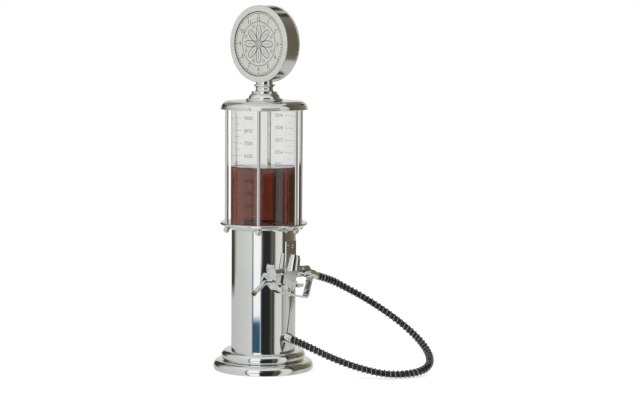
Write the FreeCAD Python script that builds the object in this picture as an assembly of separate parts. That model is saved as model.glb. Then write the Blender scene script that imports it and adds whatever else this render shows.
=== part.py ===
"""Cocktail dispenser in the shape of an old petrol pump.

A rolled chrome base carries a round column.  On the column stands a clear
canister, held by six tie rods between a flared ring and a domed lid.  A drum
shaped dial head on a turned finial lifts out of the lid for filling.  A hose
nozzle hangs on the column's right side and is fed from the canister through
a tube inside the column and a spring-wrapped hose.

Millimetres.  +Z is up, the dial faces -Y, the nozzle is on the +X side, and
the origin is the centre of the face the base stands on.
"""
import FreeCAD, Part
import math
import os

from FreeCAD import Vector

# ---------------------------------------------------------------- sizes: base
STEP_OUT = 13.5          # the upper roll stands this far out past the column
BASE_OUT = 10.8          # and the lower roll this far out past the upper one
BASE_ROLL_R = 9.0        # section radius of the lower roll
BASE_ROLL_Z = 4.5
STEP_ROLL_R = 8.2
STEP_ROLL_Z = 18.9
SHELL_EDGE_Z = 0.8       # the shell's lower edge stops short of the table
SHELL_WALL = 1.2
BASE_PLATE_HEIGHT = 2.0
BASE_PLATE_MARGIN = 2.9  # between the plate's edge and the widest inside of the shell
FOOT_PAD_HEIGHT = 3.0
FOOT_PAD_INSET = 3.2     # the pad's edge is this far in from the plate's
BALLAST_MARGIN = 2.0
BALLAST_BORE_R = 18.0
BASE_SCREW_R = 2.0
BASE_SCREW_HEAD_R = 3.6
BASE_SCREW_HEAD = 2.2
BASE_SCREW_COUNT = 3

# -------------------------------------------------------------- sizes: column
COLUMN_R = 44.0
COLUMN_WALL = 1.2
COLUMN_HEIGHT = 164.9
FLANGE_WIDTH = 6.5       # of the rings welded inside the tube's ends
FLANGE_THICK = 4.0
DECK_SCREW_R = 1.5
DECK_SCREW_HEAD_R = 2.8
DECK_SCREW_HEAD = 1.6
DECK_SCREW_COUNT = 3

# ------------------------------------------------------ sizes: ring, canister
RING_HEIGHT = 9.3
RING_LIP = 1.2           # the ring's foot overhangs the column by this much
RECESS_DEPTH = 5.2       # the canister stands this deep in the ring
RING_WEB = 2.4
GASKET_HEIGHT = 1.0
CANISTER_OUT = 1.2       # the canister's radius is this much over the column's
CANISTER_WALL = 2.3
CANISTER_FLOOR = 3.0
CANISTER_HEIGHT = 160.0
OUTLET_THREAD_R = 8.0
OUTLET_THREAD_SPARE = 2.0
OUTLET_BORE_R = 3.0
OUTLET_FLANGE_R = 13.0
OUTLET_FLANGE = 2.4
OUTLET_SEAL = 0.8
OUTLET_NUT_R = 12.0
OUTLET_NUT_HEIGHT = 5.0
OUTLET_BARB_R = 4.0
OUTLET_BARB = 14.0

# -------------------------------------------------------- sizes: rods and lid
ROD_COUNT = 6
ROD_R = 2.5
ROD_THREAD_R = 2.0
ROD_STANDOFF = 9.0       # from the canister's outside to a rod's axis
ROD_MARGIN = 5.2         # from a rod's axis to the ring's and lid's edge
ROD_FIRST_DEG = 34.5     # round from the front towards the nozzle's side
ROD_IN_LID = 5.0
BALL_NUT_R = 4.3
BALL_NUT_FLAT = 0.4      # the ball is cut flat this far above its middle
NUT_SEAT_DEPTH = 4.0     # the nuts are let into the ring by this much
LID_HEIGHT = 11.5
LID_SHOULDER = 10.9      # radial width of the rounded shoulder
LID_RIM = 2.6            # height of the thin rim round the lid's edge
LID_OVERLAP = 2.8        # the canister goes this far up into the lid
LID_GROOVE_WALL = 2.0    # wall inside the canister's groove
LID_TOP_THICK = 2.5
NECK_BORE_R = 13.5
NECK_WALL = 3.5
NECK_FLANGE_OUT = 3.0
NECK_FLANGE = 2.0
NECK_HEIGHT = 10.0

# ----------------------------------------------------------- sizes: dial head
PLUG_CLEARANCE = 0.9     # the seal ring fills it
PLUG_LENGTH = 13.0
PLUG_SEAL_R = 1.6
STUD_R = 3.0
STUD_IN_PLUG = 10.0
STUD_IN_DIAL = 8.0
FINIAL_FLANGE_R = 25.3
FINIAL_FLANGE = 3.2
FINIAL_DOME_R = 21.3
FINIAL_DOME = 7.0
FINIAL_STEP_R = 17.4
FINIAL_STEP = 2.4
FINIAL_NECK_R = 11.6
FINIAL_NECK = 7.0
FINIAL_BEAD_OUT = 2.7    # the bead stands this far out past the neck
FINIAL_BEAD = 2.8
FINIAL_STEM_R = 11.3
FINIAL_STEM = 2.6        # visible length between the bead and the dial drum
DIAL_R = 51.7
DIAL_THICK = 26.0
BEZEL_WIDTH = 7.9        # the face shows inside the lip
BEZEL_THICK = 2.0
BEZEL_PROUD = 0.5        # the bezel stands this far out past the drum
BEZEL_EDGE = 0.8
FACE_THICK = 1.0
FACE_MARGIN = 3.4        # hidden edge of the face, under the bezel's lip
DRUM_WALL = 2.0
DRUM_BOSS_WALL = 3.0

# -------------------------------------------------------------- sizes: nozzle
NOZZLE_OUT = 12.0        # from the column's face to the plane the nozzle lies in
NOZZLE_DROP = 40.6       # from the holder's top to the rear collar's axis
VALVE_Y = -3.4           # axis of the valve chamber
BLOCK_RISE = 3.6         # the block's top is this far above the collar's axis
BLOCK_HEIGHT = 15.8
BLOCK_FRONT = 27.8       # ahead of the valve's axis
BLOCK_REAR = 7.1         # and behind it
BLOCK_TAPER = 20.5       # the block's rear face leans in by this much below
BLOCK_WIDTH = 13.5
HOUSING_R = 6.2          # of the round valve housing in the block's rear
HOUSING_FOOT_R = 3.6     # where it meets the trigger boss
HOUSING_FLOOR = 1.0      # thickness under the chamber
BARREL_R = 5.5
BARREL_DROP = 1.3        # the barrel's axis is this far below the block's top
BARREL_AHEAD = 40.6      # the barrel's front is this far ahead of the valve's axis
BARREL_LENGTH = 19.0
BARREL_RIM_OUT = 0.7
BARREL_RIM = 2.0
BOSS_WIDTH = 9.6
BOSS_DEPTH = 11.4        # the trigger boss hangs this far below the block
BOSS_SUNK = 2.0          # and reaches this far up into it
BOSS_FRONT = 22.6        # its upper front corner, ahead of the valve's axis
BOSS_TIP = 7.2           # its lower front corner, ahead of the valve's axis
BOSS_HEEL = 3.9          # its lower rear corner, ahead of the valve's axis
BOSS_REAR = 4.9          # behind the valve's axis
BOSS_SLOT_FRONT = 4.5    # the slot for the trigger starts this far ahead of the pin
REAR_NECK_R = 5.6
REAR_NECK = 9.1          # visible length between the block and the collar
REAR_COLLAR_R = 7.45
REAR_COLLAR = 12.7
CHAMBER_R = 4.8
CHAMBER_DEPTH = 6.4
CHAMBER_IN_CAP = 8.2     # height of the chamber inside the cap
PORT_R = 2.1             # outlet round the stem, under the chamber
WATERWAY_R = 2.4
CAP_LEAN = 12.4          # the cap's outside leans back, degrees
CAP_FOOT_R = 9.2
CAP_WAIST_R = 8.0        # under the seam ring
CAP_WAIST = 14.5         # from the block's top up to the seam ring
CAP_SEAM_R = 8.5
CAP_SEAM = 1.0
CAP_CROWN_R = 7.3
CAP_TOP_R = 6.8
CAP_CROWN = 4.4
STEM_R = 1.6
STEM_HEAD_R = 3.8
STEM_HEAD = 2.4
STEM_GUIDE_R = 1.5
STEM_GUIDE = 4.0
VALVE_SEAL_R = 0.6
VALVE_SEAL_INSET = 0.9
SPRING_WIRE_R = 0.5
SPRING_R = 3.0
SPRING_TURNS = 5
SPOUT_R = 3.1
SPOUT_BORE_R = 2.1
SPOUT_BELOW = 5.7        # the spout's axis is this far below the barrel
SPOUT_WAY_RISE = 2.0     # the channel to it is this far above the spout's axis
SPOUT_SET_BACK = 1.1     # and starts this far behind the barrel's front
SPOUT_RUN = 17.0
SPOUT_RISE = 1.0
SPOUT_DROP_DEG = 31.0
SPOUT_DROP = 25.0        # length of the straight stretch after the bend
SPOUT_BEND_R = 13.0
SPOUT_COLLAR_R = 4.4
SPOUT_COLLAR = 6.5
SPOUT_ROOT = 16.0        # length of the root, where it leaves the barrel
SPOUT_ROOT_LOW = 12.0    # and along its underside
SPOUT_TIP_R = 3.4
SPOUT_TIP = 3.0
SPOUT_TIP_LIP = 1.0
HOSE_NUT_TILT = 15.6     # degrees below the horizontal, towards the hose
HOSE_NUT_LOWER = 3.5     # the nut starts this far below the collar's axis
HOSE_NUT_LAP = 2.2
HOSE_NUT_R = 6.9
HOSE_NUT_HEX = 12.7
HOSE_NUT_END_R = 5.5
HOSE_NUT = 19.6

# ------------------------------------------------------------- sizes: trigger
PIN_R = 1.25
PIN_AHEAD = 5.5          # of the valve's axis
PIN_BELOW = 8.0          # the block
PIN_SPARE = 0.6          # the pin stands out of each ear
TRIGGER_EYE_R = 2.7
TRIGGER_THICK = 3.8
TRIGGER_ARM_RISE = 1.4   # the arm's middle is this far above the pin
TRIGGER_ARM_HALF = 1.4
TRIGGER_REACH = 11.8     # from the valve's axis back to the middle of the pad
TRIGGER_PAD_LENGTH = 12.6
TRIGGER_PAD_HEIGHT = 5.0
TRIGGER_PAD_WIDTH = 7.6
GUARD_WIDTH = 10.0
GUARD_THICK = 2.6
GUARD_CORNER_R = 5.5
# corners of the guard's centre line, as (y, z) offsets
GUARD_FRONT = [(1.4, -3.0), (-0.6, -8.7)]    # from the spout's start
GUARD_BEND = (-21.1, -4.5)                   # from the trigger's pin
GUARD_REAR = [(-2.2, -37.0), (6.7, -8.4)]    # from the rear collar's end

# -------------------------------------------------------------- sizes: holder
HOLDER_DROP = 14.0       # from the mid ring's foot down to the saddle's top
HOLDER_PLATE = 1.6       # the plate's face stands this far out past the column
HOLDER_BLANK = 12.0      # depth of the block the saddle is cut from
SADDLE_HEIGHT = 50.0
SADDLE_FRONT_Y = -5.3
SADDLE_REAR_Y = 15.0
FORK_THICK = 1.6
FORK_WIDTH = 12.0
FORK_TOP = 5.0           # fork above the resting stud's axis
FORK_BELOW = 9.4         # and below it
HANGER_BACK = 7.7        # the stud's axis is this far behind the collar's front
HANGER_ROOT = 3.6        # the shank starts this far from the collar's axis
HANGER_HALF_WIDTH = 3.0
HANGER_BELOW = 3.0
HANGER_ABOVE = 4.0
HANGER_HEAD_R = 4.9
HANGER_HEAD = 1.4
HOLDER_SCREW_R = 1.5
HOLDER_SCREW_LENGTH = 7.0
HOLDER_SCREW_HEAD_R = 2.7
HOLDER_SCREW_HEAD = 1.1
HOLDER_SCREW_DROP = 7.1  # below the saddle's top
HOLDER_SCREW_SPACING = 9.4

# --------------------------------------------------- sizes: hose and its ends
HOSE_R = 4.1
HOSE_BORE_R = 2.4
SPRING_SLEEVE = 1.6      # thickness of the wire spring round the hose
FITTING_RISE = 20.1      # the fitting's axis is this far above the column's foot
FITTING_TILT = 12.0      # degrees below the horizontal
FITTING_COLLAR_R = 6.3
FITTING_COLLAR = 10.6
COLLAR_GROOVE_BACK = 3.4
COLLAR_GROOVE = 0.7
COLLAR_GROOVE_DEEP = 0.5
FITTING_THREAD_R = 4.6
FITTING_INSIDE = 12.0    # the body reaches this far in from the column's face
FITTING_SEAT = 3.2       # room for the washer's moulded side against the curved wall
FITTING_NUT_R = 8.0
FITTING_NUT = 4.0
FITTING_WASHER = 1.5
BARB = 9.0
BARB_CLEARANCE = 0.3
BARB_WALL = 0.8
DROP_TUBE_WALL = 2.0
DROP_TUBE_BEND_R = 24.0
# corners of the hose's route between its two straight ends
HOSE_ROUTE = [(113.0, 11.0, 26.0), (147.0, 28.0, 14.0), (178.0, 50.0, 5.8),
              (199.0, 82.0, 5.8), (198.0, 116.0, 10.4), (177.0, 144.0, 22.0),
              (144.0, 154.5, 43.0), (110.0, 144.5, 67.5), (80.0, 121.5, 91.5),
              (61.0, 96.5, 108.5)]
HOSE_FIRST_RUN = 27.0
HOSE_LAST_RUN = 31.4
CORNER_SHARE = 0.45      # share of the shorter run that a corner's arc takes

# -------------------------------------------------------- clearances and fits
SLIP = 0.1               # between fixed pieces that slide together
GAP = 0.3                # between pieces that move past each other
RUNNING = 0.05           # shafts that turn or slide in their bores
OVERCUT = 1.0            # a cutter reaches this far past what it cuts

# -------------------------------------------------------------- derived radii
STEP_R = COLUMN_R + STEP_OUT
BASE_R = STEP_R + BASE_OUT
BASE_PLATE_R = BASE_R - SHELL_WALL - BASE_PLATE_MARGIN
FOOT_PAD_R = BASE_PLATE_R - FOOT_PAD_INSET
BALLAST_R = STEP_R - STEP_ROLL_R - BALLAST_MARGIN
COLUMN_BORE_R = COLUMN_R - COLUMN_WALL
FLANGE_BORE_R = COLUMN_BORE_R - FLANGE_WIDTH
FLANGE_CIRCLE_R = COLUMN_BORE_R - FLANGE_WIDTH / 2
CANISTER_R = COLUMN_R + CANISTER_OUT
CANISTER_BORE_R = CANISTER_R - CANISTER_WALL
ROD_CIRCLE_R = CANISTER_R + ROD_STANDOFF
RING_R = ROD_CIRCLE_R + ROD_MARGIN
LID_R = RING_R
NECK_R = NECK_BORE_R + NECK_WALL
PLUG_R = NECK_BORE_R - PLUG_CLEARANCE
BEZEL_LIP_R = DIAL_R - BEZEL_WIDTH
DRUM_R = DIAL_R - BEZEL_PROUD
BARB_R = HOSE_BORE_R - BARB_CLEARANCE
SPRING_SLEEVE_R = HOSE_R + SPRING_SLEEVE
DROP_TUBE_R = OUTLET_BARB_R + DROP_TUBE_WALL

# ------------------------------------------------------------- derived levels
BASE_PLATE_Z = FOOT_PAD_HEIGHT
BALLAST_Z = BASE_PLATE_Z + BASE_PLATE_HEIGHT
COLUMN_Z = STEP_ROLL_Z + STEP_ROLL_R
FITTING_Z = COLUMN_Z + FITTING_RISE
RING_Z = COLUMN_Z + COLUMN_HEIGHT
NUT_SEAT_Z = RING_Z + NUT_SEAT_DEPTH
RING_TOP_Z = RING_Z + RING_HEIGHT
RECESS_Z = RING_TOP_Z - RECESS_DEPTH
RING_CEILING_Z = RECESS_Z - RING_WEB
OUTLET_BARB_TOP_Z = RING_CEILING_Z - OUTLET_NUT_HEIGHT - OUTLET_THREAD_SPARE
CANISTER_Z = RECESS_Z + GASKET_HEIGHT
CANISTER_FLOOR_Z = CANISTER_Z + CANISTER_FLOOR
CANISTER_TOP_Z = CANISTER_Z + CANISTER_HEIGHT
LID_Z = CANISTER_TOP_Z - LID_OVERLAP
LID_TOP_Z = LID_Z + LID_HEIGHT
LID_UNDER_Z = LID_TOP_Z - LID_TOP_THICK
PLUG_SEAL_Z = LID_TOP_Z - PLUG_LENGTH / 2
FINIAL_DOME_Z = LID_TOP_Z + FINIAL_FLANGE
FINIAL_STEP_Z = FINIAL_DOME_Z + FINIAL_DOME
FINIAL_NECK_Z = FINIAL_STEP_Z + FINIAL_STEP
FINIAL_BEAD_Z = FINIAL_NECK_Z + FINIAL_NECK
FINIAL_STEM_Z = FINIAL_BEAD_Z + FINIAL_BEAD
DIAL_Z = FINIAL_STEM_Z + FINIAL_STEM + DIAL_R
DRUM_FLOOR_Z = DIAL_Z - DRUM_R
DRUM_HALF = DIAL_THICK / 2 - BEZEL_THICK
HOLDER_TOP_Z = RING_Z - HOLDER_DROP
REAR_Z = HOLDER_TOP_Z - NOZZLE_DROP
BLOCK_TOP_Z = REAR_Z + BLOCK_RISE
BLOCK_BOTTOM_Z = BLOCK_TOP_Z - BLOCK_HEIGHT
BARREL_Z = BLOCK_TOP_Z - BARREL_DROP
SPOUT_Z = BARREL_Z - BARREL_R - SPOUT_BELOW
SPOUT_WAY_Z = SPOUT_Z + SPOUT_WAY_RISE
CHAMBER_Z = BLOCK_TOP_Z - CHAMBER_DEPTH
CAP_CEILING_Z = BLOCK_TOP_Z + CHAMBER_IN_CAP
STEM_HEAD_Z = CHAMBER_Z + 2 * VALVE_SEAL_R + GAP
PIN_Z = BLOCK_BOTTOM_Z - PIN_BELOW
TRIGGER_ARM_Z = PIN_Z + TRIGGER_ARM_RISE
TRIGGER_ARM_TOP_Z = TRIGGER_ARM_Z + TRIGGER_ARM_HALF

# ------------------------------------------------ derived places on the nozzle
NOZZLE_X = COLUMN_R + NOZZLE_OUT
HOLDER_FACE_X = COLUMN_R + HOLDER_PLATE
BLOCK_FRONT_Y = VALVE_Y - BLOCK_FRONT
BLOCK_REAR_Y = VALVE_Y + BLOCK_REAR
BARREL_FRONT_Y = VALVE_Y - BARREL_AHEAD
REAR_COLLAR_Y = BLOCK_REAR_Y + REAR_NECK
REAR_COLLAR_END_Y = REAR_COLLAR_Y + REAR_COLLAR
SPOUT_START_Y = BARREL_FRONT_Y + SPOUT_SET_BACK
PIN_Y = VALVE_Y - PIN_AHEAD
TRIGGER_PAD_Y = VALVE_Y + TRIGGER_REACH
HOLDER_Y = REAR_COLLAR_Y + HANGER_BACK


# ------------------------------------------------------------ shape functions
def closed_wire(start, moves, place):
    """Closed wire; a move is a point, or a pair of points for an arc through the first."""
    edges = []
    here = start
    for move in moves + [start]:
        if isinstance(move[0], tuple):
            middle, there = move
            edges.append(Part.Arc(place(here), place(middle), place(there)).toShape())
        else:
            there = move
            edges.append(Part.LineSegment(place(here), place(there)).toShape())
        here = there
    return Part.Wire(edges)


def spin(start, *moves):
    """Solid turned round Z from an (r, z) outline."""
    wire = closed_wire(start, list(moves), lambda p: Vector(p[0], 0, p[1]))
    return Part.Face(wire).revolve(Vector(0, 0, 0), Vector(0, 0, 1), 360)


def slab(start, *moves, x, width):
    """Solid of the given width centred on x, from a (y, z) outline."""
    wire = closed_wire(start, list(moves), lambda p: Vector(x - width / 2, p[0], p[1]))
    return Part.Face(wire).extrude(Vector(width, 0, 0))


def disc(radius, z, height, x=0.0, y=0.0):
    return Part.makeCylinder(radius, height, Vector(x, y, z))


def tube(outer, inner, z, height):
    return disc(outer, z, height).cut(disc(inner, z, height))


def rod_along(point, direction, radius, length):
    return Part.makeCylinder(radius, length, point, direction)


def cone_along(point, direction, radius, end_radius, length):
    return Part.makeCone(radius, end_radius, length, point, direction)


def hexagon(radius, z, height, x=0.0, y=0.0):
    """Upright six-sided prism; the radius reaches its corners."""
    corners = []
    for step in range(7):
        angle = math.radians(60 * step)
        corners.append(Vector(x + radius * math.cos(angle), y + radius * math.sin(angle), z))
    return Part.Face(Part.makePolygon(corners)).extrude(Vector(0, 0, height))


def aim(shape, point, direction):
    """Turn a shape built along +Z at the origin to a direction, and move it to a point."""
    turned = shape.copy()
    turned.Placement = FreeCAD.Placement(point, FreeCAD.Rotation(Vector(0, 0, 1), direction))
    return turned


def on_circle(radius, count, first_deg=0.0):
    """Points evenly round Z; angles run from the front (-Y) towards +X."""
    places = []
    for index in range(count):
        angle = math.radians(first_deg + 360.0 * index / count)
        places.append(Vector(radius * math.sin(angle), -radius * math.cos(angle), 0))
    return places


def rounded_path(points, largest=None):
    """Straight runs joined by tangent arcs; returns the wire, its length and the radii."""
    edges = []
    used = []
    length = 0.0
    here = points[0]
    for index in range(1, len(points) - 1):
        before = points[index - 1] - points[index]
        after = points[index + 1] - points[index]
        half_turn = (math.pi - before.getAngle(after)) / 2
        radius = CORNER_SHARE * min(before.Length, after.Length) / math.tan(half_turn)
        if largest:
            radius = min(radius, largest)
        reach = radius * math.tan(half_turn)
        before.normalize()
        after.normalize()
        first = points[index] + before * reach
        last = points[index] + after * reach
        bisector = (before + after).normalize()
        inside = radius / math.cos(half_turn) - radius
        edges.append(Part.LineSegment(here, first).toShape())
        edges.append(Part.Arc(first, points[index] + bisector * inside, last).toShape())
        length += (first - here).Length + 2 * half_turn * radius
        used.append(radius)
        here = last
    edges.append(Part.LineSegment(here, points[-1]).toShape())
    length += (points[-1] - here).Length
    return Part.Wire(edges), length, used


def pipe(path, points, radius):
    """Round bar along a path that starts at the first point, towards the second."""
    circle = Part.Circle(points[0], points[1] - points[0], radius).toShape()
    return path.makePipeShell([Part.Wire([circle])], True, True)


# ----------------------------------------------------------------------- base
def base_shell():
    """Spun sheet with two stacked rolls and a flat top the column stands on."""
    def roll(centre_r, centre_z, radius, degrees):
        angle = math.radians(degrees)
        return (centre_r + radius * math.cos(angle), centre_z + radius * math.sin(angle))

    def level(centre_r, centre_z, radius, z):
        return (centre_r + math.sqrt(radius ** 2 - (z - centre_z) ** 2), z)

    low_r = BASE_R - BASE_ROLL_R
    top_r = STEP_R - STEP_ROLL_R
    low_in = BASE_ROLL_R - SHELL_WALL
    top_in = STEP_ROLL_R - SHELL_WALL
    shell = spin(
        level(low_r, BASE_ROLL_Z, BASE_ROLL_R, SHELL_EDGE_Z),
        (roll(low_r, BASE_ROLL_Z, BASE_ROLL_R, 20), roll(low_r, BASE_ROLL_Z, BASE_ROLL_R, 118)),
        roll(top_r, STEP_ROLL_Z, STEP_ROLL_R, -57),
        (roll(top_r, STEP_ROLL_Z, STEP_ROLL_R, 15), (top_r, COLUMN_Z)),
        (FLANGE_BORE_R, COLUMN_Z),
        (FLANGE_BORE_R, COLUMN_Z - SHELL_WALL),
        (top_r, COLUMN_Z - SHELL_WALL),
        (roll(top_r, STEP_ROLL_Z, top_in, 15), roll(top_r, STEP_ROLL_Z, top_in, -57)),
        roll(low_r, BASE_ROLL_Z, low_in, 118),
        (roll(low_r, BASE_ROLL_Z, low_in, 20), level(low_r, BASE_ROLL_Z, low_in, SHELL_EDGE_Z)),
    )
    for place in on_circle(FLANGE_CIRCLE_R, BASE_SCREW_COUNT):
        shell = shell.cut(disc(BASE_SCREW_R + SLIP, 0, COLUMN_Z + OVERCUT, place.x, place.y))
    return shell


def base_plate():
    plate = disc(BASE_PLATE_R, BASE_PLATE_Z, BASE_PLATE_HEIGHT)
    for place in on_circle(FLANGE_CIRCLE_R, BASE_SCREW_COUNT):
        plate = plate.cut(disc(BASE_SCREW_R + SLIP, 0, BALLAST_Z + OVERCUT, place.x, place.y))
    return plate


def foot_pad():
    """Rubber disc under the plate, with pockets for the screw heads."""
    pad = disc(FOOT_PAD_R, 0, FOOT_PAD_HEIGHT)
    depth = BASE_SCREW_HEAD + SLIP
    for place in on_circle(FLANGE_CIRCLE_R, BASE_SCREW_COUNT):
        pocket = disc(BASE_SCREW_HEAD_R + GAP, BASE_PLATE_Z - depth, depth, place.x, place.y)
        pad = pad.cut(pocket)
    return pad


def ballast():
    height = COLUMN_Z - SHELL_WALL - BALLAST_Z
    body = tube(BALLAST_R, BALLAST_BORE_R, BALLAST_Z, height)
    for place in on_circle(FLANGE_CIRCLE_R, BASE_SCREW_COUNT):
        body = body.cut(disc(BASE_SCREW_R + SLIP, BALLAST_Z, height, place.x, place.y))
    return body


def base_screws():
    """Long screws that clamp plate, ballast and shell to the column's foot ring."""
    screws = []
    for place in on_circle(FLANGE_CIRCLE_R, BASE_SCREW_COUNT):
        top = COLUMN_Z + FLANGE_THICK - SLIP
        shank = disc(BASE_SCREW_R, BASE_PLATE_Z, top - BASE_PLATE_Z, place.x, place.y)
        head_z = BASE_PLATE_Z - BASE_SCREW_HEAD
        head = disc(BASE_SCREW_HEAD_R, head_z, BASE_SCREW_HEAD, place.x, place.y)
        screws.append(shank.fuse(head))
    return Part.makeCompound(screws)


# --------------------------------------------------------------------- column
def flange_ring(z, count, screw_r):
    """Ring welded inside an end of the column, with screw holes."""
    ring = tube(COLUMN_BORE_R, FLANGE_BORE_R, z, FLANGE_THICK)
    for place in on_circle(FLANGE_CIRCLE_R, count):
        ring = ring.cut(disc(screw_r, z, FLANGE_THICK, place.x, place.y))
    return ring


def column_foot_flange():
    return flange_ring(COLUMN_Z, BASE_SCREW_COUNT, BASE_SCREW_R)


def column_top_flange():
    return flange_ring(RING_Z - FLANGE_THICK, DECK_SCREW_COUNT, DECK_SCREW_R + SLIP)


def fitting_axis():
    """Point on the column's face and outward direction of the hose fitting."""
    tilt = math.radians(FITTING_TILT)
    return Vector(COLUMN_R, 0, FITTING_Z), Vector(math.cos(tilt), 0, -math.sin(tilt))


def holder_screw_places():
    middle = (SADDLE_FRONT_Y + SADDLE_REAR_Y) / 2
    places = []
    for side in (-1, 1):
        y = middle + side * HOLDER_SCREW_SPACING / 2
        places.append(Vector(HOLDER_FACE_X, y, HOLDER_TOP_Z - HOLDER_SCREW_DROP))
    return places


def column_tube():
    column = tube(COLUMN_R, COLUMN_BORE_R, COLUMN_Z, COLUMN_HEIGHT)
    point, outward = fitting_axis()
    inner_end = point - outward * FITTING_INSIDE
    hole = rod_along(inner_end, outward, FITTING_THREAD_R + SLIP, FITTING_INSIDE + FITTING_COLLAR)
    column = column.cut(hole)
    for place in holder_screw_places():
        column = column.cut(rod_along(place, Vector(-1, 0, 0), HOLDER_SCREW_R, HOLDER_SCREW_LENGTH))
    return column


def deck_screws():
    """Screws up through the column's top flange into the mid ring."""
    screws = []
    for place in on_circle(FLANGE_CIRCLE_R, DECK_SCREW_COUNT):
        low = RING_Z - FLANGE_THICK
        shank = disc(DECK_SCREW_R, low, RECESS_Z - SLIP - low, place.x, place.y)
        head = disc(DECK_SCREW_HEAD_R, low - DECK_SCREW_HEAD, DECK_SCREW_HEAD, place.x, place.y)
        screws.append(shank.fuse(head))
    return Part.makeCompound(screws)


# ------------------------------------------------------------- hose fitting
def fitting_collar():
    """Outer collar of the hose fitting, seated on the column's round face."""
    point, outward = fitting_axis()
    sunk = 2 * FITTING_COLLAR_R * math.tan(math.radians(FITTING_TILT))
    collar = rod_along(point - outward * sunk, outward, FITTING_COLLAR_R, FITTING_COLLAR + sunk)
    bore = rod_along(point - outward * sunk, outward, FITTING_THREAD_R, FITTING_COLLAR + sunk)
    groove_start = point + outward * (FITTING_COLLAR - COLLAR_GROOVE_BACK)
    groove = rod_along(groove_start, outward, FITTING_COLLAR_R, COLLAR_GROOVE)
    groove_floor = rod_along(point, outward, FITTING_COLLAR_R - COLLAR_GROOVE_DEEP, FITTING_COLLAR)
    collar = collar.cut(bore).cut(groove.cut(groove_floor))
    return collar.cut(disc(COLUMN_R, 0, RING_Z))


def hose_fitting():
    """Threaded body through the column wall, with a barb at each end."""
    point, outward = fitting_axis()
    inner_end = point - outward * FITTING_INSIDE
    length = FITTING_INSIDE + FITTING_COLLAR
    thread = rod_along(inner_end, outward, FITTING_THREAD_R, length)
    outer_barb = rod_along(point + outward * FITTING_COLLAR, outward, BARB_R, BARB)
    inner_barb = rod_along(inner_end - outward * BARB, outward, OUTLET_BARB_R, BARB)
    body = thread.fuse([outer_barb, inner_barb])
    bore = rod_along(inner_end - outward * BARB, outward, BARB_R - BARB_WALL, 2 * BARB + length)
    return body.cut(bore)


def washer_start():
    """Centre of the washer's flat inner face, where the nut bears."""
    point, outward = fitting_axis()
    return point - outward * (COLUMN_WALL + FITTING_SEAT + FITTING_WASHER)


def fitting_washer():
    """Thick rubber washer, moulded to the tube's inner face."""
    _, outward = fitting_axis()
    start = washer_start()
    blank = (start - fitting_axis()[0]).Length + FITTING_NUT_R * math.tan(math.radians(FITTING_TILT))
    washer = rod_along(start, outward, FITTING_NUT_R, blank)
    washer = washer.cut(rod_along(start, outward, FITTING_THREAD_R, blank))
    return washer.common(disc(COLUMN_BORE_R, 0, RING_Z))


def fitting_nut():
    _, outward = fitting_axis()
    start = washer_start() - outward * FITTING_NUT
    nut = aim(hexagon(FITTING_NUT_R, 0, FITTING_NUT), start, outward)
    return nut.cut(rod_along(start, outward, FITTING_THREAD_R, FITTING_NUT))


def drop_tube():
    """Tube inside the column from the canister's outlet to the hose fitting."""
    point, outward = fitting_axis()
    low = point - outward * FITTING_INSIDE
    top = Vector(0, 0, OUTLET_BARB_TOP_Z)
    drop = low - outward * (low.x / outward.x)
    points = [top, drop, low]
    path, _, _ = rounded_path(points, DROP_TUBE_BEND_R)
    outer = pipe(path, points, DROP_TUBE_R)
    return outer.cut(pipe(path, points, OUTLET_BARB_R))


# -------------------------------------------------------- mid ring, canister
def mid_ring():
    """Flared ring on the column; recessed for the canister, drilled for rods and outlet."""
    pocket_r = CANISTER_R + SLIP
    ring = spin(
        (COLUMN_R + RING_LIP, RING_Z),
        ((RING_R - 8.0, RING_Z + 1.9), (RING_R - 2.2, RING_Z + 5.8)),
        ((RING_R, RING_Z + 7.4), (RING_R - 0.9, RING_TOP_Z)),
        (pocket_r, RING_TOP_Z),
        (pocket_r, RECESS_Z),
        (OUTLET_THREAD_R + SLIP, RECESS_Z),
        (OUTLET_THREAD_R + SLIP, RING_CEILING_Z),
        (FLANGE_BORE_R, RING_CEILING_Z),
        (FLANGE_BORE_R, RING_Z),
    )
    for place in on_circle(ROD_CIRCLE_R, ROD_COUNT, ROD_FIRST_DEG):
        ring = ring.cut(disc(ROD_THREAD_R + SLIP, RING_Z, RING_HEIGHT, place.x, place.y))
        ring = ring.cut(disc(BALL_NUT_R + GAP, RING_Z - OVERCUT, NUT_SEAT_DEPTH + OVERCUT, place.x, place.y))
    for place in on_circle(FLANGE_CIRCLE_R, DECK_SCREW_COUNT):
        ring = ring.cut(disc(DECK_SCREW_R, RING_Z, RECESS_Z - RING_Z, place.x, place.y))
    return ring


def lower_gasket():
    return tube(CANISTER_R, OUTLET_FLANGE_R, RECESS_Z, GASKET_HEIGHT)


def canister():
    """Clear cylinder with a floor, drilled for the outlet."""
    body = disc(CANISTER_R, CANISTER_Z, CANISTER_HEIGHT)
    body = body.cut(disc(CANISTER_BORE_R, CANISTER_FLOOR_Z, CANISTER_HEIGHT))
    return body.cut(disc(OUTLET_THREAD_R + SLIP, CANISTER_Z, CANISTER_FLOOR))


def outlet_seal():
    return tube(OUTLET_FLANGE_R, OUTLET_THREAD_R, CANISTER_FLOOR_Z, OUTLET_SEAL)


def outlet_fitting():
    """Flanged drain through canister floor and ring, with a barb for the drop tube."""
    flange_z = CANISTER_FLOOR_Z + OUTLET_SEAL
    low = OUTLET_BARB_TOP_Z - OUTLET_BARB
    body = disc(OUTLET_FLANGE_R, flange_z, OUTLET_FLANGE)
    body = body.fuse(disc(OUTLET_THREAD_R, OUTLET_BARB_TOP_Z, flange_z - OUTLET_BARB_TOP_Z))
    body = body.fuse(disc(OUTLET_BARB_R, low, OUTLET_BARB))
    return body.cut(disc(OUTLET_BORE_R, low, RING_TOP_Z))


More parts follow.
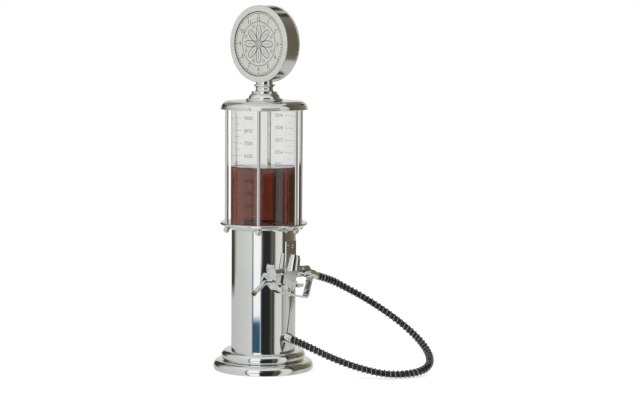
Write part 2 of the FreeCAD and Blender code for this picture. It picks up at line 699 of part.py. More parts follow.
def outlet_nut():
    z = RING_CEILING_Z - OUTLET_NUT_HEIGHT
    return hexagon(OUTLET_NUT_R, z, OUTLET_NUT_HEIGHT).cut(disc(OUTLET_THREAD_R, z, OUTLET_NUT_HEIGHT))


def upper_gasket():
    """Seal between the canister's top edge and the bottom of the lid's groove."""
    return tube(CANISTER_R, CANISTER_BORE_R, CANISTER_TOP_Z, GASKET_HEIGHT)


def tie_rod(place):
    """Plain rod with a thinner threaded end above and below."""
    body = disc(ROD_R, RING_TOP_Z, LID_Z - RING_TOP_Z, place.x, place.y)
    low = NUT_SEAT_Z - BALL_NUT_R
    body = body.fuse(disc(ROD_THREAD_R, low, RING_TOP_Z - low, place.x, place.y))
    return body.fuse(disc(ROD_THREAD_R, LID_Z, ROD_IN_LID, place.x, place.y))


def ball_nuts():
    """Round cap nuts on the rods' lower ends, flat where they meet the ring."""
    nuts = []
    middle_z = NUT_SEAT_Z - BALL_NUT_R + BALL_NUT_FLAT
    for place in on_circle(ROD_CIRCLE_R, ROD_COUNT, ROD_FIRST_DEG):
        nut = Part.makeSphere(BALL_NUT_R, Vector(place.x, place.y, middle_z))
        nut = nut.cut(disc(BALL_NUT_R, NUT_SEAT_Z, BALL_NUT_R, place.x, place.y))
        thread = disc(ROD_THREAD_R, NUT_SEAT_Z - BALL_NUT_R, BALL_NUT_R, place.x, place.y)
        nuts.append(nut.cut(thread))
    return Part.makeCompound(nuts)


# ------------------------------------------------------------------------ lid
def lid():
    """Domed cover with a thin rim, a groove for the canister and a hole for the neck."""
    top_r = LID_R - LID_SHOULDER
    side_r = LID_R - 1.0
    bend = (LID_HEIGHT - LID_RIM) * math.sqrt(0.5)
    width = side_r - top_r
    groove_top = CANISTER_TOP_Z + GASKET_HEIGHT
    groove_r = CANISTER_BORE_R - LID_GROOVE_WALL
    body = spin(
        (NECK_R + SLIP, LID_UNDER_Z),
        (groove_r, LID_UNDER_Z),
        (groove_r, groove_top),
        (CANISTER_R + SLIP, groove_top),
        (CANISTER_R + SLIP, LID_Z),
        (LID_R - 0.7, LID_Z),
        ((LID_R, LID_Z + LID_RIM / 2), (side_r, LID_Z + LID_RIM)),
        ((top_r + width * math.sqrt(0.5), LID_Z + LID_RIM + bend), (top_r, LID_TOP_Z)),
        (NECK_R + SLIP, LID_TOP_Z),
    )
    for place in on_circle(ROD_CIRCLE_R, ROD_COUNT, ROD_FIRST_DEG):
        body = body.cut(disc(ROD_THREAD_R, LID_Z, ROD_IN_LID, place.x, place.y))
    return body


def filler_neck():
    """Collar in the lid's hole; its flange is under the lid and its bore takes the plug."""
    low = LID_TOP_Z - NECK_HEIGHT
    neck = disc(NECK_R, low, NECK_HEIGHT)
    flange = disc(NECK_R + NECK_FLANGE_OUT, LID_UNDER_Z - NECK_FLANGE, NECK_FLANGE)
    return neck.fuse(flange).cut(disc(NECK_BORE_R, low, NECK_HEIGHT))


# ------------------------------------------------------------------ dial head
def plug_seal():
    """Seal ring that touches the neck's bore."""
    circle_r = NECK_BORE_R - RUNNING - PLUG_SEAL_R
    return Part.makeTorus(circle_r, PLUG_SEAL_R, Vector(0, 0, PLUG_SEAL_Z))


def filler_plug():
    """Plug under the finial, with a groove for its seal ring."""
    body = disc(PLUG_R, LID_TOP_Z - PLUG_LENGTH, PLUG_LENGTH)
    stud_z = LID_TOP_Z - STUD_IN_PLUG
    return body.cut(plug_seal()).cut(disc(STUD_R, stud_z, STUD_IN_PLUG))


def drum_body(radius, half):
    """Solid drum on the dial's axis."""
    return Part.makeCylinder(radius, 2 * half, Vector(0, -half, DIAL_Z), Vector(0, 1, 0))


def finial():
    """Turned foot of the dial head: flange, dome, step, neck, bead and stem."""
    dome_in = 1.6
    bead_r = FINIAL_NECK_R + FINIAL_BEAD_OUT
    body = spin(
        (0, LID_TOP_Z),
        (FINIAL_FLANGE_R - 1.0, LID_TOP_Z),
        ((FINIAL_FLANGE_R, LID_TOP_Z + FINIAL_FLANGE / 2), (FINIAL_FLANGE_R - 1.2, FINIAL_DOME_Z)),
        (FINIAL_DOME_R, FINIAL_DOME_Z),
        ((FINIAL_DOME_R - dome_in, FINIAL_DOME_Z + FINIAL_DOME * 0.7), (FINIAL_STEP_R, FINIAL_STEP_Z)),
        (FINIAL_STEP_R, FINIAL_NECK_Z),
        (FINIAL_NECK_R + 1.8, FINIAL_NECK_Z),
        ((FINIAL_NECK_R, FINIAL_NECK_Z + FINIAL_NECK / 2), (FINIAL_NECK_R + 1.4, FINIAL_BEAD_Z)),
        ((bead_r, FINIAL_BEAD_Z + FINIAL_BEAD / 2), (FINIAL_NECK_R + 1.4, FINIAL_STEM_Z)),
        (FINIAL_STEM_R, FINIAL_STEM_Z),
        (FINIAL_STEM_R, DIAL_Z - DRUM_R / 2),
        (0, DIAL_Z - DRUM_R / 2),
    )
    rims = drum_body(DIAL_R, DIAL_THICK / 2).cut(drum_body(DIAL_R, DRUM_HALF))
    body = body.cut(drum_body(DRUM_R, DIAL_THICK)).cut(rims)
    return body.cut(disc(STUD_R, LID_TOP_Z, DIAL_Z - LID_TOP_Z))


def finial_stud():
    low = LID_TOP_Z - STUD_IN_PLUG
    top = DRUM_FLOOR_Z + STUD_IN_DIAL
    return disc(STUD_R, low, top - low)


def dial_housing():
    """Hollow drum with an inner boss for the stud."""
    inner = DRUM_R - DRUM_WALL
    drum = drum_body(DRUM_R, DRUM_HALF).cut(drum_body(inner, DRUM_HALF))
    boss = disc(STUD_R + DRUM_BOSS_WALL, DRUM_FLOOR_Z + DRUM_WALL / 2, STUD_IN_DIAL)
    drum = drum.fuse(boss.common(drum_body(DRUM_R - DRUM_WALL / 2, DRUM_HALF)))
    return drum.cut(disc(STUD_R, DRUM_FLOOR_Z - OVERCUT, STUD_IN_DIAL + OVERCUT))


def bezel(side):
    """Rim ring on one end of the drum; its lip holds the face.  side is -1 front, 1 rear."""
    face_r = BEZEL_LIP_R + FACE_MARGIN
    corner = BEZEL_EDGE * (1 - math.sqrt(0.5))
    ring = spin(
        (face_r, 0),
        (DIAL_R, 0),
        (DIAL_R, BEZEL_THICK - BEZEL_EDGE),
        ((DIAL_R - corner, BEZEL_THICK - corner), (DIAL_R - BEZEL_EDGE, BEZEL_THICK)),
        (BEZEL_LIP_R, BEZEL_THICK),
        (BEZEL_LIP_R, FACE_THICK),
        (face_r, FACE_THICK),
    )
    return aim(ring, Vector(0, side * DRUM_HALF, DIAL_Z), Vector(0, side, 0))


def face(side):
    """Engraved disc under a bezel's lip; the engraving is a surface finish."""
    plate = disc(BEZEL_LIP_R + FACE_MARGIN, 0, FACE_THICK)
    return aim(plate, Vector(0, side * DRUM_HALF, DIAL_Z), Vector(0, side, 0))


# --------------------------------------------------------------------- nozzle
def along_y(radius, y, length, z, x=NOZZLE_X):
    return Part.makeCylinder(radius, length, Vector(x, y, z), Vector(0, 1, 0))


def nut_axis():
    """Start point and direction of the hose nut, at the rear collar's end."""
    tilt = math.radians(HOSE_NUT_TILT)
    direction = Vector(0, math.cos(tilt), -math.sin(tilt))
    return Vector(NOZZLE_X, REAR_COLLAR_END_Y, REAR_Z - HOSE_NUT_LOWER), direction


def trigger_ears():
    """Boss under the block, split for the trigger and drilled for its pin and the stem."""
    bottom = BLOCK_BOTTOM_Z
    low = bottom - BOSS_DEPTH
    sunk = bottom + BOSS_SUNK
    ears = slab(
        (VALVE_Y - BOSS_FRONT, sunk),
        (VALVE_Y - BOSS_FRONT, bottom),
        (VALVE_Y - BOSS_TIP, low),
        (VALVE_Y - BOSS_HEEL, low),
        (VALVE_Y + BOSS_REAR, bottom),
        (VALVE_Y, sunk),
        x=NOZZLE_X, width=BOSS_WIDTH)
    slot_top = bottom + BOSS_SUNK / 2
    slot_front = PIN_Y - BOSS_SLOT_FRONT
    slot_rear = VALVE_Y + BOSS_REAR + OVERCUT
    slot = slab(
        (slot_front, low - OVERCUT),
        (slot_front, slot_top),
        (slot_rear, slot_top),
        (slot_rear, low - OVERCUT),
        x=NOZZLE_X, width=TRIGGER_THICK + 2 * GAP)
    return ears.cut(slot)


def valve_housing():
    """Round housing in the block's rear that narrows to the trigger boss."""
    floor_z = CHAMBER_Z - HOUSING_FLOOR
    foot = Vector(NOZZLE_X, VALVE_Y, BLOCK_BOTTOM_Z)
    funnel = cone_along(foot, Vector(0, 0, 1), HOUSING_FOOT_R, HOUSING_R, floor_z - BLOCK_BOTTOM_Z)
    return funnel.fuse(disc(HOUSING_R, floor_z, BLOCK_TOP_Z - floor_z, NOZZLE_X, VALVE_Y))


def nozzle_body():
    """Barrel, valve block, rear neck and trigger boss in one casting."""
    block = slab(
        (BLOCK_FRONT_Y, BLOCK_BOTTOM_Z + 0.5),
        (BLOCK_FRONT_Y + 3.5, BLOCK_TOP_Z),
        (BLOCK_REAR_Y, BLOCK_TOP_Z),
        (BLOCK_REAR_Y - BLOCK_TAPER, BLOCK_BOTTOM_Z),
        x=NOZZLE_X, width=BLOCK_WIDTH)
    barrel = along_y(BARREL_R, BARREL_FRONT_Y, BARREL_LENGTH, BARREL_Z)
    rim = along_y(BARREL_R + BARREL_RIM_OUT, BARREL_FRONT_Y, BARREL_RIM, BARREL_Z)
    neck = along_y(REAR_NECK_R, VALVE_Y, REAR_COLLAR_Y - VALVE_Y, REAR_Z)
    root_z = BARREL_Z - BARREL_R
    spout_root = slab(
        (SPOUT_START_Y, SPOUT_Z - SPOUT_COLLAR_R),
        (SPOUT_START_Y, root_z + 3),
        (SPOUT_START_Y + SPOUT_ROOT, root_z + 3),
        (SPOUT_START_Y + SPOUT_ROOT_LOW, SPOUT_Z - SPOUT_COLLAR_R),
        x=NOZZLE_X, width=2 * SPOUT_COLLAR_R)
    body = block.fuse([barrel, rim, neck, spout_root, trigger_ears(), valve_housing()])
    body = body.cut(cap_blank(SLIP))
    body = body.cut(disc(CHAMBER_R, CHAMBER_Z, CHAMBER_DEPTH, NOZZLE_X, VALVE_Y))
    body = body.cut(disc(PORT_R, SPOUT_WAY_Z, CHAMBER_Z - SPOUT_WAY_Z, NOZZLE_X, VALVE_Y))
    body = body.cut(disc(STEM_R + RUNNING, 0, CHAMBER_Z, NOZZLE_X, VALVE_Y))
    points = spout_points()
    body = body.cut(rod_along(points[0], points[1] - points[0], SPOUT_COLLAR_R, SPOUT_COLLAR))
    rear_way = along_y(WATERWAY_R, VALVE_Y, REAR_COLLAR_Y - VALVE_Y, REAR_Z)
    front_way = along_y(WATERWAY_R, SPOUT_START_Y, VALVE_Y - SPOUT_START_Y, SPOUT_WAY_Z)
    pin_hole = Part.makeCylinder(PIN_R, BLOCK_WIDTH, pin_point(BLOCK_WIDTH), Vector(1, 0, 0))
    return body.cut(rear_way).cut(front_way).cut(pin_hole)


def pin_point(length):
    return Vector(NOZZLE_X - length / 2, PIN_Y, PIN_Z)


def cap_blank(spare):
    """Outside of the valve cap, leaning back from the block's top; spare widens it."""
    lean = math.radians(CAP_LEAN)
    up = Vector(0, math.sin(lean), math.cos(lean))
    foot = Vector(NOZZLE_X, VALVE_Y, BLOCK_TOP_Z)
    below = CAP_FOOT_R * math.tan(lean) + OVERCUT
    low_r = CAP_FOOT_R + below * (CAP_FOOT_R - CAP_WAIST_R) / CAP_WAIST
    blank = cone_along(foot - up * below, up, low_r + spare, CAP_WAIST_R + spare, CAP_WAIST + below)
    seam = rod_along(foot + up * CAP_WAIST, up, CAP_SEAM_R + spare, CAP_SEAM)
    crown = cone_along(foot + up * (CAP_WAIST + CAP_SEAM), up, CAP_CROWN_R + spare, CAP_TOP_R + spare, CAP_CROWN)
    blank = blank.fuse([seam, crown])
    return blank.cut(disc(2 * CAP_FOOT_R, BLOCK_TOP_Z - 2 * CAP_FOOT_R, 2 * CAP_FOOT_R, NOZZLE_X, VALVE_Y))


def valve_cap():
    """Tapered cap with a raised seam; its outside leans back over the upright chamber."""
    return cap_blank(0.0).cut(disc(CHAMBER_R, BLOCK_TOP_Z, CHAMBER_IN_CAP, NOZZLE_X, VALVE_Y))


def valve_seal():
    centre = Vector(NOZZLE_X, VALVE_Y, CHAMBER_Z + VALVE_SEAL_R)
    return Part.makeTorus(STEM_HEAD_R - VALVE_SEAL_INSET, VALVE_SEAL_R, centre)


def valve_stem():
    """Push rod with the valve disc; the trigger lifts its foot."""
    foot_z = TRIGGER_ARM_TOP_Z + GAP
    stem = disc(STEM_R, foot_z, STEM_HEAD_Z - foot_z, NOZZLE_X, VALVE_Y)
    stem = stem.fuse(disc(STEM_HEAD_R, STEM_HEAD_Z, STEM_HEAD, NOZZLE_X, VALVE_Y))
    return stem.fuse(disc(STEM_GUIDE_R, STEM_HEAD_Z + STEM_HEAD, STEM_GUIDE, NOZZLE_X, VALVE_Y))


def valve_spring():
    """Wire spring between the valve disc and the cap's ceiling."""
    low = STEM_HEAD_Z + STEM_HEAD + GAP + SPRING_WIRE_R
    height = CAP_CEILING_Z - SPRING_WIRE_R - low
    helix = Part.makeHelix(height / SPRING_TURNS, height, SPRING_R)
    circle = Part.Circle(Vector(SPRING_R, 0, 0), Vector(0, 1, 0), SPRING_WIRE_R).toShape()
    spring = Part.Wire(helix.Edges).makePipeShell([Part.Wire([circle])], True, True)
    spring.translate(Vector(NOZZLE_X, VALVE_Y, low))
    return spring


def spout_points():
    drop = math.radians(SPOUT_DROP_DEG)
    start = Vector(NOZZLE_X, SPOUT_START_Y, SPOUT_Z)
    bend = start + Vector(0, -SPOUT_RUN, SPOUT_RISE)
    end = bend + Vector(0, -math.cos(drop), -math.sin(drop)) * SPOUT_DROP
    return [start, bend, end]


def spout_tube():
    """Bent outlet tube."""
    points = spout_points()
    path, _, _ = rounded_path(points, SPOUT_BEND_R)
    return pipe(path, points, SPOUT_R).cut(pipe(path, points, SPOUT_BORE_R))


def spout_collar():
    points = spout_points()
    direction = points[1] - points[0]
    collar = rod_along(points[0], direction, SPOUT_COLLAR_R, SPOUT_COLLAR)
    return collar.cut(rod_along(points[0], direction, SPOUT_R, SPOUT_COLLAR))


def spout_tip():
    """Brass drip ring round the spout's end."""
    points = spout_points()
    direction = (points[2] - points[1]).normalize()
    lap = SPOUT_TIP - SPOUT_TIP_LIP
    start = points[2] - direction * lap
    tip = rod_along(start, direction, SPOUT_TIP_R, SPOUT_TIP)
    tip = tip.cut(rod_along(start, direction, SPOUT_R, lap))
    return tip.cut(rod_along(start, direction, SPOUT_BORE_R, SPOUT_TIP))


def rear_collar():
    """Collar behind the valve block, bored for the hanger stud."""
    collar = along_y(REAR_COLLAR_R, REAR_COLLAR_Y, REAR_COLLAR, REAR_Z)
    collar = collar.cut(along_y(WATERWAY_R, REAR_COLLAR_Y, REAR_COLLAR, REAR_Z))
    return collar.cut(hanger_shank())


def hose_nut():
    """Six-sided nut that tapers to the hose."""
    start, direction = nut_axis()
    lap = HOSE_NUT_LAP
    hex_part = aim(hexagon(HOSE_NUT_R, -lap, HOSE_NUT_HEX + lap), start, direction)
    cone_start = start + direction * HOSE_NUT_HEX
    cone = cone_along(cone_start, direction, HOSE_NUT_R - 0.8, HOSE_NUT_END_R, HOSE_NUT - HOSE_NUT_HEX)
    nut = hex_part.fuse(cone)
    nut = nut.cut(along_y(REAR_COLLAR_R + OVERCUT, REAR_COLLAR_Y, REAR_COLLAR, REAR_Z))
    return nut.cut(rod_along(start - direction * lap, direction, BARB_R - BARB_WALL, HOSE_NUT + lap))


def hanger_shank():
    """Flat-sided shank of the hanger stud, from the collar to behind the fork."""
    low_x = HOLDER_FACE_X - FORK_THICK - GAP - HANGER_HEAD
    corner = Vector(low_x, HOLDER_Y - HANGER_HALF_WIDTH, REAR_Z - HANGER_BELOW)
    length = NOZZLE_X - HANGER_ROOT - low_x
    return Part.makeBox(length, 2 * HANGER_HALF_WIDTH, HANGER_BELOW + HANGER_ABOVE, corner)


def hanger_stud():
    """Stud on the nozzle's hidden side, with a head behind the fork."""
    centre = Vector(HOLDER_FACE_X - FORK_THICK - GAP, HOLDER_Y, REAR_Z + (HANGER_ABOVE - HANGER_BELOW) / 2)
    head = rod_along(centre, Vector(-1, 0, 0), HANGER_HEAD_R, HANGER_HEAD)
    waterway = along_y(WATERWAY_R, REAR_COLLAR_Y, REAR_COLLAR, REAR_Z)
    return hanger_shank().fuse(head).cut(waterway)


# -------------------------------------------------------------------- trigger
def trigger():
    """Lever on its pin between the boss's ears, with a rounded pad for the finger."""
    half = TRIGGER_ARM_HALF
    arm = slab(
        (PIN_Y, TRIGGER_ARM_Z - half),
        (PIN_Y, TRIGGER_ARM_Z + half),
        (TRIGGER_PAD_Y, TRIGGER_ARM_Z + half),
        (TRIGGER_PAD_Y, TRIGGER_ARM_Z - half),
        x=NOZZLE_X, width=TRIGGER_THICK)
    eye = Part.makeCylinder(TRIGGER_EYE_R, TRIGGER_THICK, pin_point(TRIGGER_THICK), Vector(1, 0, 0))
    reach = TRIGGER_PAD_LENGTH / 2 - TRIGGER_PAD_HEIGHT / 2
    flat = TRIGGER_PAD_HEIGHT / 2
    pad = slab(
        (TRIGGER_PAD_Y - reach, TRIGGER_ARM_Z - flat),
        ((TRIGGER_PAD_Y - reach - flat, TRIGGER_ARM_Z), (TRIGGER_PAD_Y - reach, TRIGGER_ARM_Z + flat)),
        (TRIGGER_PAD_Y + reach, TRIGGER_ARM_Z + flat),
        ((TRIGGER_PAD_Y + reach + flat, TRIGGER_ARM_Z), (TRIGGER_PAD_Y + reach, TRIGGER_ARM_Z - flat)),
        x=NOZZLE_X, width=TRIGGER_PAD_WIDTH)
    lever = arm.fuse([eye, pad])
    bore = Part.makeCylinder(PIN_R + RUNNING, BLOCK_WIDTH, pin_point(BLOCK_WIDTH), Vector(1, 0, 0))
    return lever.cut(bore)


def trigger_pin():
    length = BOSS_WIDTH + 2 * PIN_SPARE
    return Part.makeCylinder(PIN_R, length, pin_point(length), Vector(1, 0, 0))


def trigger_guard():
    """Flat strip from under the barrel, below the trigger, up to the hose nut."""
    points = []
    for y, z in GUARD_FRONT:
        points.append(Vector(NOZZLE_X, SPOUT_START_Y + y, SPOUT_Z + z))
    points.append(Vector(NOZZLE_X, PIN_Y + GUARD_BEND[0], PIN_Z + GUARD_BEND[1]))
    for y, z in GUARD_REAR:
        points.append(Vector(NOZZLE_X, REAR_COLLAR_END_Y + y, REAR_Z + z))
    path, _, _ = rounded_path(points, GUARD_CORNER_R)
    across = Vector(GUARD_WIDTH / 2, 0, 0)
    run = (points[1] - points[0]).normalize()
    thick = run.cross(Vector(1, 0, 0)) * (GUARD_THICK / 2)
    here = points[0]
    corners = [here + across + thick, here + across - thick, here - across - thick, here - across + thick]
    section = Part.makePolygon(corners + [corners[0]])
    guard = path.makePipeShell([section], True, False)
    return guard.cut(nozzle_body()).cut(spout_collar()).cut(hose_nut()).cut(rear_collar())


# --------------------------------------------------------------------- holder
def holder_bracket():
    """Saddle on the column's side; its face carries on as a thin fork, slotted from above."""
    back_x = HOLDER_FACE_X - HOLDER_BLANK
    saddle_corner = Vector(back_x, SADDLE_FRONT_Y, HOLDER_TOP_Z - SADDLE_HEIGHT)
    bracket = Part.makeBox(HOLDER_BLANK, SADDLE_REAR_Y - SADDLE_FRONT_Y, SADDLE_HEIGHT, saddle_corner)
    bracket = bracket.cut(disc(COLUMN_R, 0, RING_Z))
    half = FORK_WIDTH / 2
    fork_corner = Vector(HOLDER_FACE_X - FORK_THICK, HOLDER_Y - half, REAR_Z - FORK_BELOW)
    fork = Part.makeBox(FORK_THICK, FORK_WIDTH, FORK_BELOW + FORK_TOP, fork_corner)
    slot_half = HANGER_HALF_WIDTH + GAP
    slot_z = REAR_Z - HANGER_BELOW - GAP / 3
    slot_corner = Vector(back_x, HOLDER_Y - slot_half, slot_z)
    slot = Part.makeBox(HOLDER_BLANK, 2 * slot_half, HOLDER_TOP_Z - slot_z, slot_corner)
    bracket = bracket.fuse(fork).cut(slot)
    for place in holder_screw_places():
        bracket = bracket.cut(rod_along(place, Vector(-1, 0, 0), HOLDER_SCREW_R + SLIP, HOLDER_BLANK))
    return bracket


def holder_screws():
    screws = []
    for place in holder_screw_places():
        shank = rod_along(place, Vector(-1, 0, 0), HOLDER_SCREW_R, HOLDER_SCREW_LENGTH)
        head = rod_along(place, Vector(1, 0, 0), HOLDER_SCREW_HEAD_R, HOLDER_SCREW_HEAD)
        screws.append(shank.fuse(head))
    return Part.makeCompound(screws)


# ----------------------------------------------------------------------- hose
def hose_points():
    """Route from the column's fitting to the nozzle's nut."""
    point, outward = fitting_axis()
    first = point + outward * FITTING_COLLAR
    nut_start, nut_direction = nut_axis()
    last = nut_start + nut_direction * HOSE_NUT
    points = [first, first + outward * HOSE_FIRST_RUN]
    for corner in HOSE_ROUTE:
        points.append(Vector(*corner))
    points.append(last + nut_direction * HOSE_LAST_RUN)
    points.append(last)
    return points


def hose_tube(outer, inner, name):
    """Pipe along the route, with its volume compared with section times length."""
    points = hose_points()
    path, length, radii = rounded_path(points)
    body = pipe(path, points, outer).cut(pipe(path, points, inner))
    expected = math.pi * (outer ** 2 - inner ** 2) * length
    print(name, "length %.1f mm" % length, "volume ratio %.4f" % (body.Volume / expected))
    print("  radii", " ".join("%.0f" % radius for radius in radii), "lowest z %.2f" % body.BoundBox.ZMin)
    return body


def hose():
    return hose_tube(HOSE_R, HOSE_BORE_R, "hose")


def hose_spring():
    """Plain sleeve for the wire spring wound round the hose."""
    return hose_tube(SPRING_SLEEVE_R, HOSE_R, "hose_spring")


# --------------------------------------------------------------------- output
def all_parts():
    """Node name and shape of every piece, in the order they stack."""
    plain = [
        foot_pad, base_plate, ballast, base_shell, base_screws,
        column_tube, column_foot_flange, column_top_flange, deck_screws,
        hose_fitting, fitting_collar, fitting_washer, fitting_nut, drop_tube,
        mid_ring, lower_gasket, canister, outlet_fitting, outlet_seal, outlet_nut, upper_gasket,
        ball_nuts, lid, filler_neck, filler_plug, plug_seal, finial, finial_stud, dial_housing,
        nozzle_body, valve_cap, valve_seal, valve_stem, valve_spring,
        spout_collar, spout_tube, spout_tip, rear_collar, hose_nut, hanger_stud,
        trigger, trigger_pin, trigger_guard, holder_bracket, holder_screws, hose, hose_spring,
    ]
    parts = {}
    for make in plain:
        parts[make.__name__] = make()
    for index, place in enumerate(on_circle(ROD_CIRCLE_R, ROD_COUNT, ROD_FIRST_DEG)):
        parts["tie_rod_%d" % (index + 1)] = tie_rod(place)
    parts["front_bezel"] = bezel(-1)
    parts["rear_bezel"] = bezel(1)
    parts["front_face"] = face(-1)
    parts["rear_face"] = face(1)
    return parts


os.makedirs("parts", exist_ok=True)
for node, shape in all_parts().items():
    box = shape.BoundBox
    print("%-20s solids %d  valid %s  z %.1f..%.1f" % (node, len(shape.Solids), shape.isValid(), box.ZMin, box.ZMax))
    shape.exportStep("parts/%s.step" % node)
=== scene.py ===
"""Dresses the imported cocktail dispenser: finishes, hose, valve spring, dial, scales and drink.

Metres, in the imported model's frame: +Z is up, the dial faces -Y and the nozzle is on the +X side.
"""

import bpy
import math
import numpy as np
from mathutils import Matrix, Vector


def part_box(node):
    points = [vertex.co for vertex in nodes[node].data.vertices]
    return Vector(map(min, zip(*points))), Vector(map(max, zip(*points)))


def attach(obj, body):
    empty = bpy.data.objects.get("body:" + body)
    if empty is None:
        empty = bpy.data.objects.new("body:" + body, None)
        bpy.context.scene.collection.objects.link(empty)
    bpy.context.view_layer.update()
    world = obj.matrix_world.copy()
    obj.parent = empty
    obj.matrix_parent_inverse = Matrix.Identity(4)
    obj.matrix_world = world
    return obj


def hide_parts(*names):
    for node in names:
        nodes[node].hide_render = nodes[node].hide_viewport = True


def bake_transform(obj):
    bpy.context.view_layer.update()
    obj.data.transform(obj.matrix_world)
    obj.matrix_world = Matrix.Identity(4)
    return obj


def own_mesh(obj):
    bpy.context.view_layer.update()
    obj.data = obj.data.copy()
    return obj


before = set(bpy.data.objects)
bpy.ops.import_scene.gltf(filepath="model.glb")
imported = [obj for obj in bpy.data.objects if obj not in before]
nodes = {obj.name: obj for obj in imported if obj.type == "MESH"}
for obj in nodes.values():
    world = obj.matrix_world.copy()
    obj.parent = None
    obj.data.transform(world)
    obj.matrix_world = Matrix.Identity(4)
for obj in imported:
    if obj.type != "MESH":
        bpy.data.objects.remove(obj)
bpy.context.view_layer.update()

MM = 0.001


# ------------------------------------------------------------------- camera
VIEW_DEG = 42.0          # the camera stands this far round from the front, towards the nozzle
CAMERA_AWAY = 2.6
CAMERA_Z = 0.485
AIM_RIGHT = 0.0762       # it looks at a point this far to the right of the column's axis
AIM_Z = 0.2313
ROLL_DEG = 0.43
LENS_MM = 108.13
SENSOR_MM = 36.0


def aimed(place, target):
    """Matrix of a camera or lamp that stands at a place and looks at a target."""
    turn = (target - place).to_track_quat("-Z", "Y")
    return Matrix.Translation(place) @ turn.to_matrix().to_4x4()


def make_camera():
    """Long lens at the height of the dial, turned towards the nozzle's side."""
    turn = math.radians(VIEW_DEG)
    eye = Vector((CAMERA_AWAY * math.sin(turn), -CAMERA_AWAY * math.cos(turn), CAMERA_Z))
    right = Vector((math.cos(turn), math.sin(turn), 0))
    data = bpy.data.cameras.new("camera")
    data.sensor_width = SENSOR_MM
    data.lens = LENS_MM
    camera = bpy.data.objects.new("camera", data)
    roll = Matrix.Rotation(math.radians(ROLL_DEG), 4, "Z")
    camera.matrix_world = aimed(eye, right * AIM_RIGHT + Vector((0, 0, AIM_Z))) @ roll
    bpy.context.scene.collection.objects.link(camera)
    bpy.context.scene.camera = camera


make_camera()


# ----------------------------------------------------------- mesh functions
def new_piece(name, points, faces, finish, body=None, sharp_deg=35.0):
    """Mesh object from an array of points and its faces; smooth but for edges over sharp_deg."""
    mesh = bpy.data.meshes.new(name)
    mesh.from_pydata(points.reshape(-1, 3).tolist(), [], faces)
    mesh.shade_smooth()
    mesh.set_sharp_from_angle(angle=math.radians(sharp_deg))
    mesh.materials.append(finish)
    piece = bpy.data.objects.new(name, mesh)
    bpy.context.scene.collection.objects.link(piece)
    if body:
        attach(piece, body)
    return piece


def curve_mesh(curve):
    """Points (n, 3) and triangles that a curve or text gives when it is made a mesh."""
    holder = bpy.data.objects.new(curve.name, curve)
    bpy.context.scene.collection.objects.link(holder)
    mesh = bpy.data.meshes.new_from_object(holder)
    mesh.calc_loop_triangles()
    points = np.empty(3 * len(mesh.vertices), np.float32)
    triangles = np.empty(3 * len(mesh.loop_triangles), np.int32)
    mesh.vertices.foreach_get("co", points)
    mesh.loop_triangles.foreach_get("vertices", triangles)
    bpy.data.objects.remove(holder)
    bpy.data.curves.remove(curve)
    bpy.data.meshes.remove(mesh)
    return points.reshape(-1, 3).astype(float), triangles.reshape(-1, 3)


def grid_faces(rows, columns, wrap_rows=False, wrap_columns=False):
    """Quads of a rows x columns grid of points, facing along row direction x column direction."""
    r = np.arange(rows if wrap_rows else rows - 1)
    c = np.arange(columns if wrap_columns else columns - 1)
    r, c = np.meshgrid(r, c, indexing="ij")
    r2, c2 = (r + 1) % rows, (c + 1) % columns
    corners = [r * columns + c, r2 * columns + c, r2 * columns + c2, r * columns + c2]
    return np.stack(corners, axis=-1).reshape(-1, 4)


def joined(parts):
    """Several (points, faces) pairs as one: each part's faces count on from the points before."""
    starts = np.cumsum([0] + [len(points) for points, _ in parts])
    points = np.concatenate([points for points, _ in parts])
    return points, np.concatenate([faces + start for (_, faces), start in zip(parts, starts)])


def frames_along(line):
    """Two normals at each point of a line, which turn no more than the line does."""
    tangent = np.gradient(line, axis=0)
    tangent /= np.linalg.norm(tangent, axis=1)[:, None]
    first = np.cross(tangent[0], [0.0, 0.0, 1.0])
    normals = [first / np.linalg.norm(first)]
    for t in tangent[1:]:
        carried = normals[-1] - t * normals[-1].dot(t)
        normals.append(carried / np.linalg.norm(carried))
    normals = np.array(normals)
    return normals, np.cross(tangent, normals)


def swept_tube(line, radius, sides):
    """Round tube with flat ends: point(s, a) = line(s) + radius (cos a N(s) + sin a B(s))."""
    normal, binormal = frames_along(line)
    angle = np.linspace(0, 2 * np.pi, sides, endpoint=False)[None, :, None]
    ring = np.cos(angle) * normal[:, None] + np.sin(angle) * binormal[:, None]
    points = (line[:, None] + radius * ring).reshape(-1, 3)
    wall = grid_faces(len(line), sides, wrap_columns=True)[:, ::-1]
    near_end = list(range(sides))
    far_end = list(range(len(points) - sides, len(points)))[::-1]
    return points, wall.tolist() + [near_end, far_end]


# --------------------------------------------------------------------- hose
# corners of the hose's route, from the collar low on the column to the nozzle's nut
HOSE_ROUTE = np.array([
    (54.37, 0.0, 45.00), (80.78, 0.0, 39.38), (113.0, 11.0, 26.0), (147.0, 28.0, 14.0),
    (178.0, 50.0, 5.8), (199.0, 82.0, 5.8), (198.0, 116.0, 10.4), (177.0, 144.0, 22.0),
    (144.0, 154.5, 43.0), (110.0, 144.5, 67.5), (80.0, 121.5, 91.5), (61.0, 96.5, 108.5),
    (56.0, 74.62, 120.19), (56.0, 44.38, 128.63)]) * MM
ROUTE_STEPS = 24           # points of the smooth line from one corner to the next
HOSE_R = 4.1 * MM
HOSE_STEP = 1.5 * MM       # from one ring of the tube to the next
HOSE_SIDES = 24
WIRE_R = 0.65 * MM
WIRE_SIDES = 8
COIL_R = 5.0 * MM          # to the middle of the wire
COIL_PITCH = 6.3 * MM
COIL_STEPS = 16            # rings of the wire along one pitch of the hose


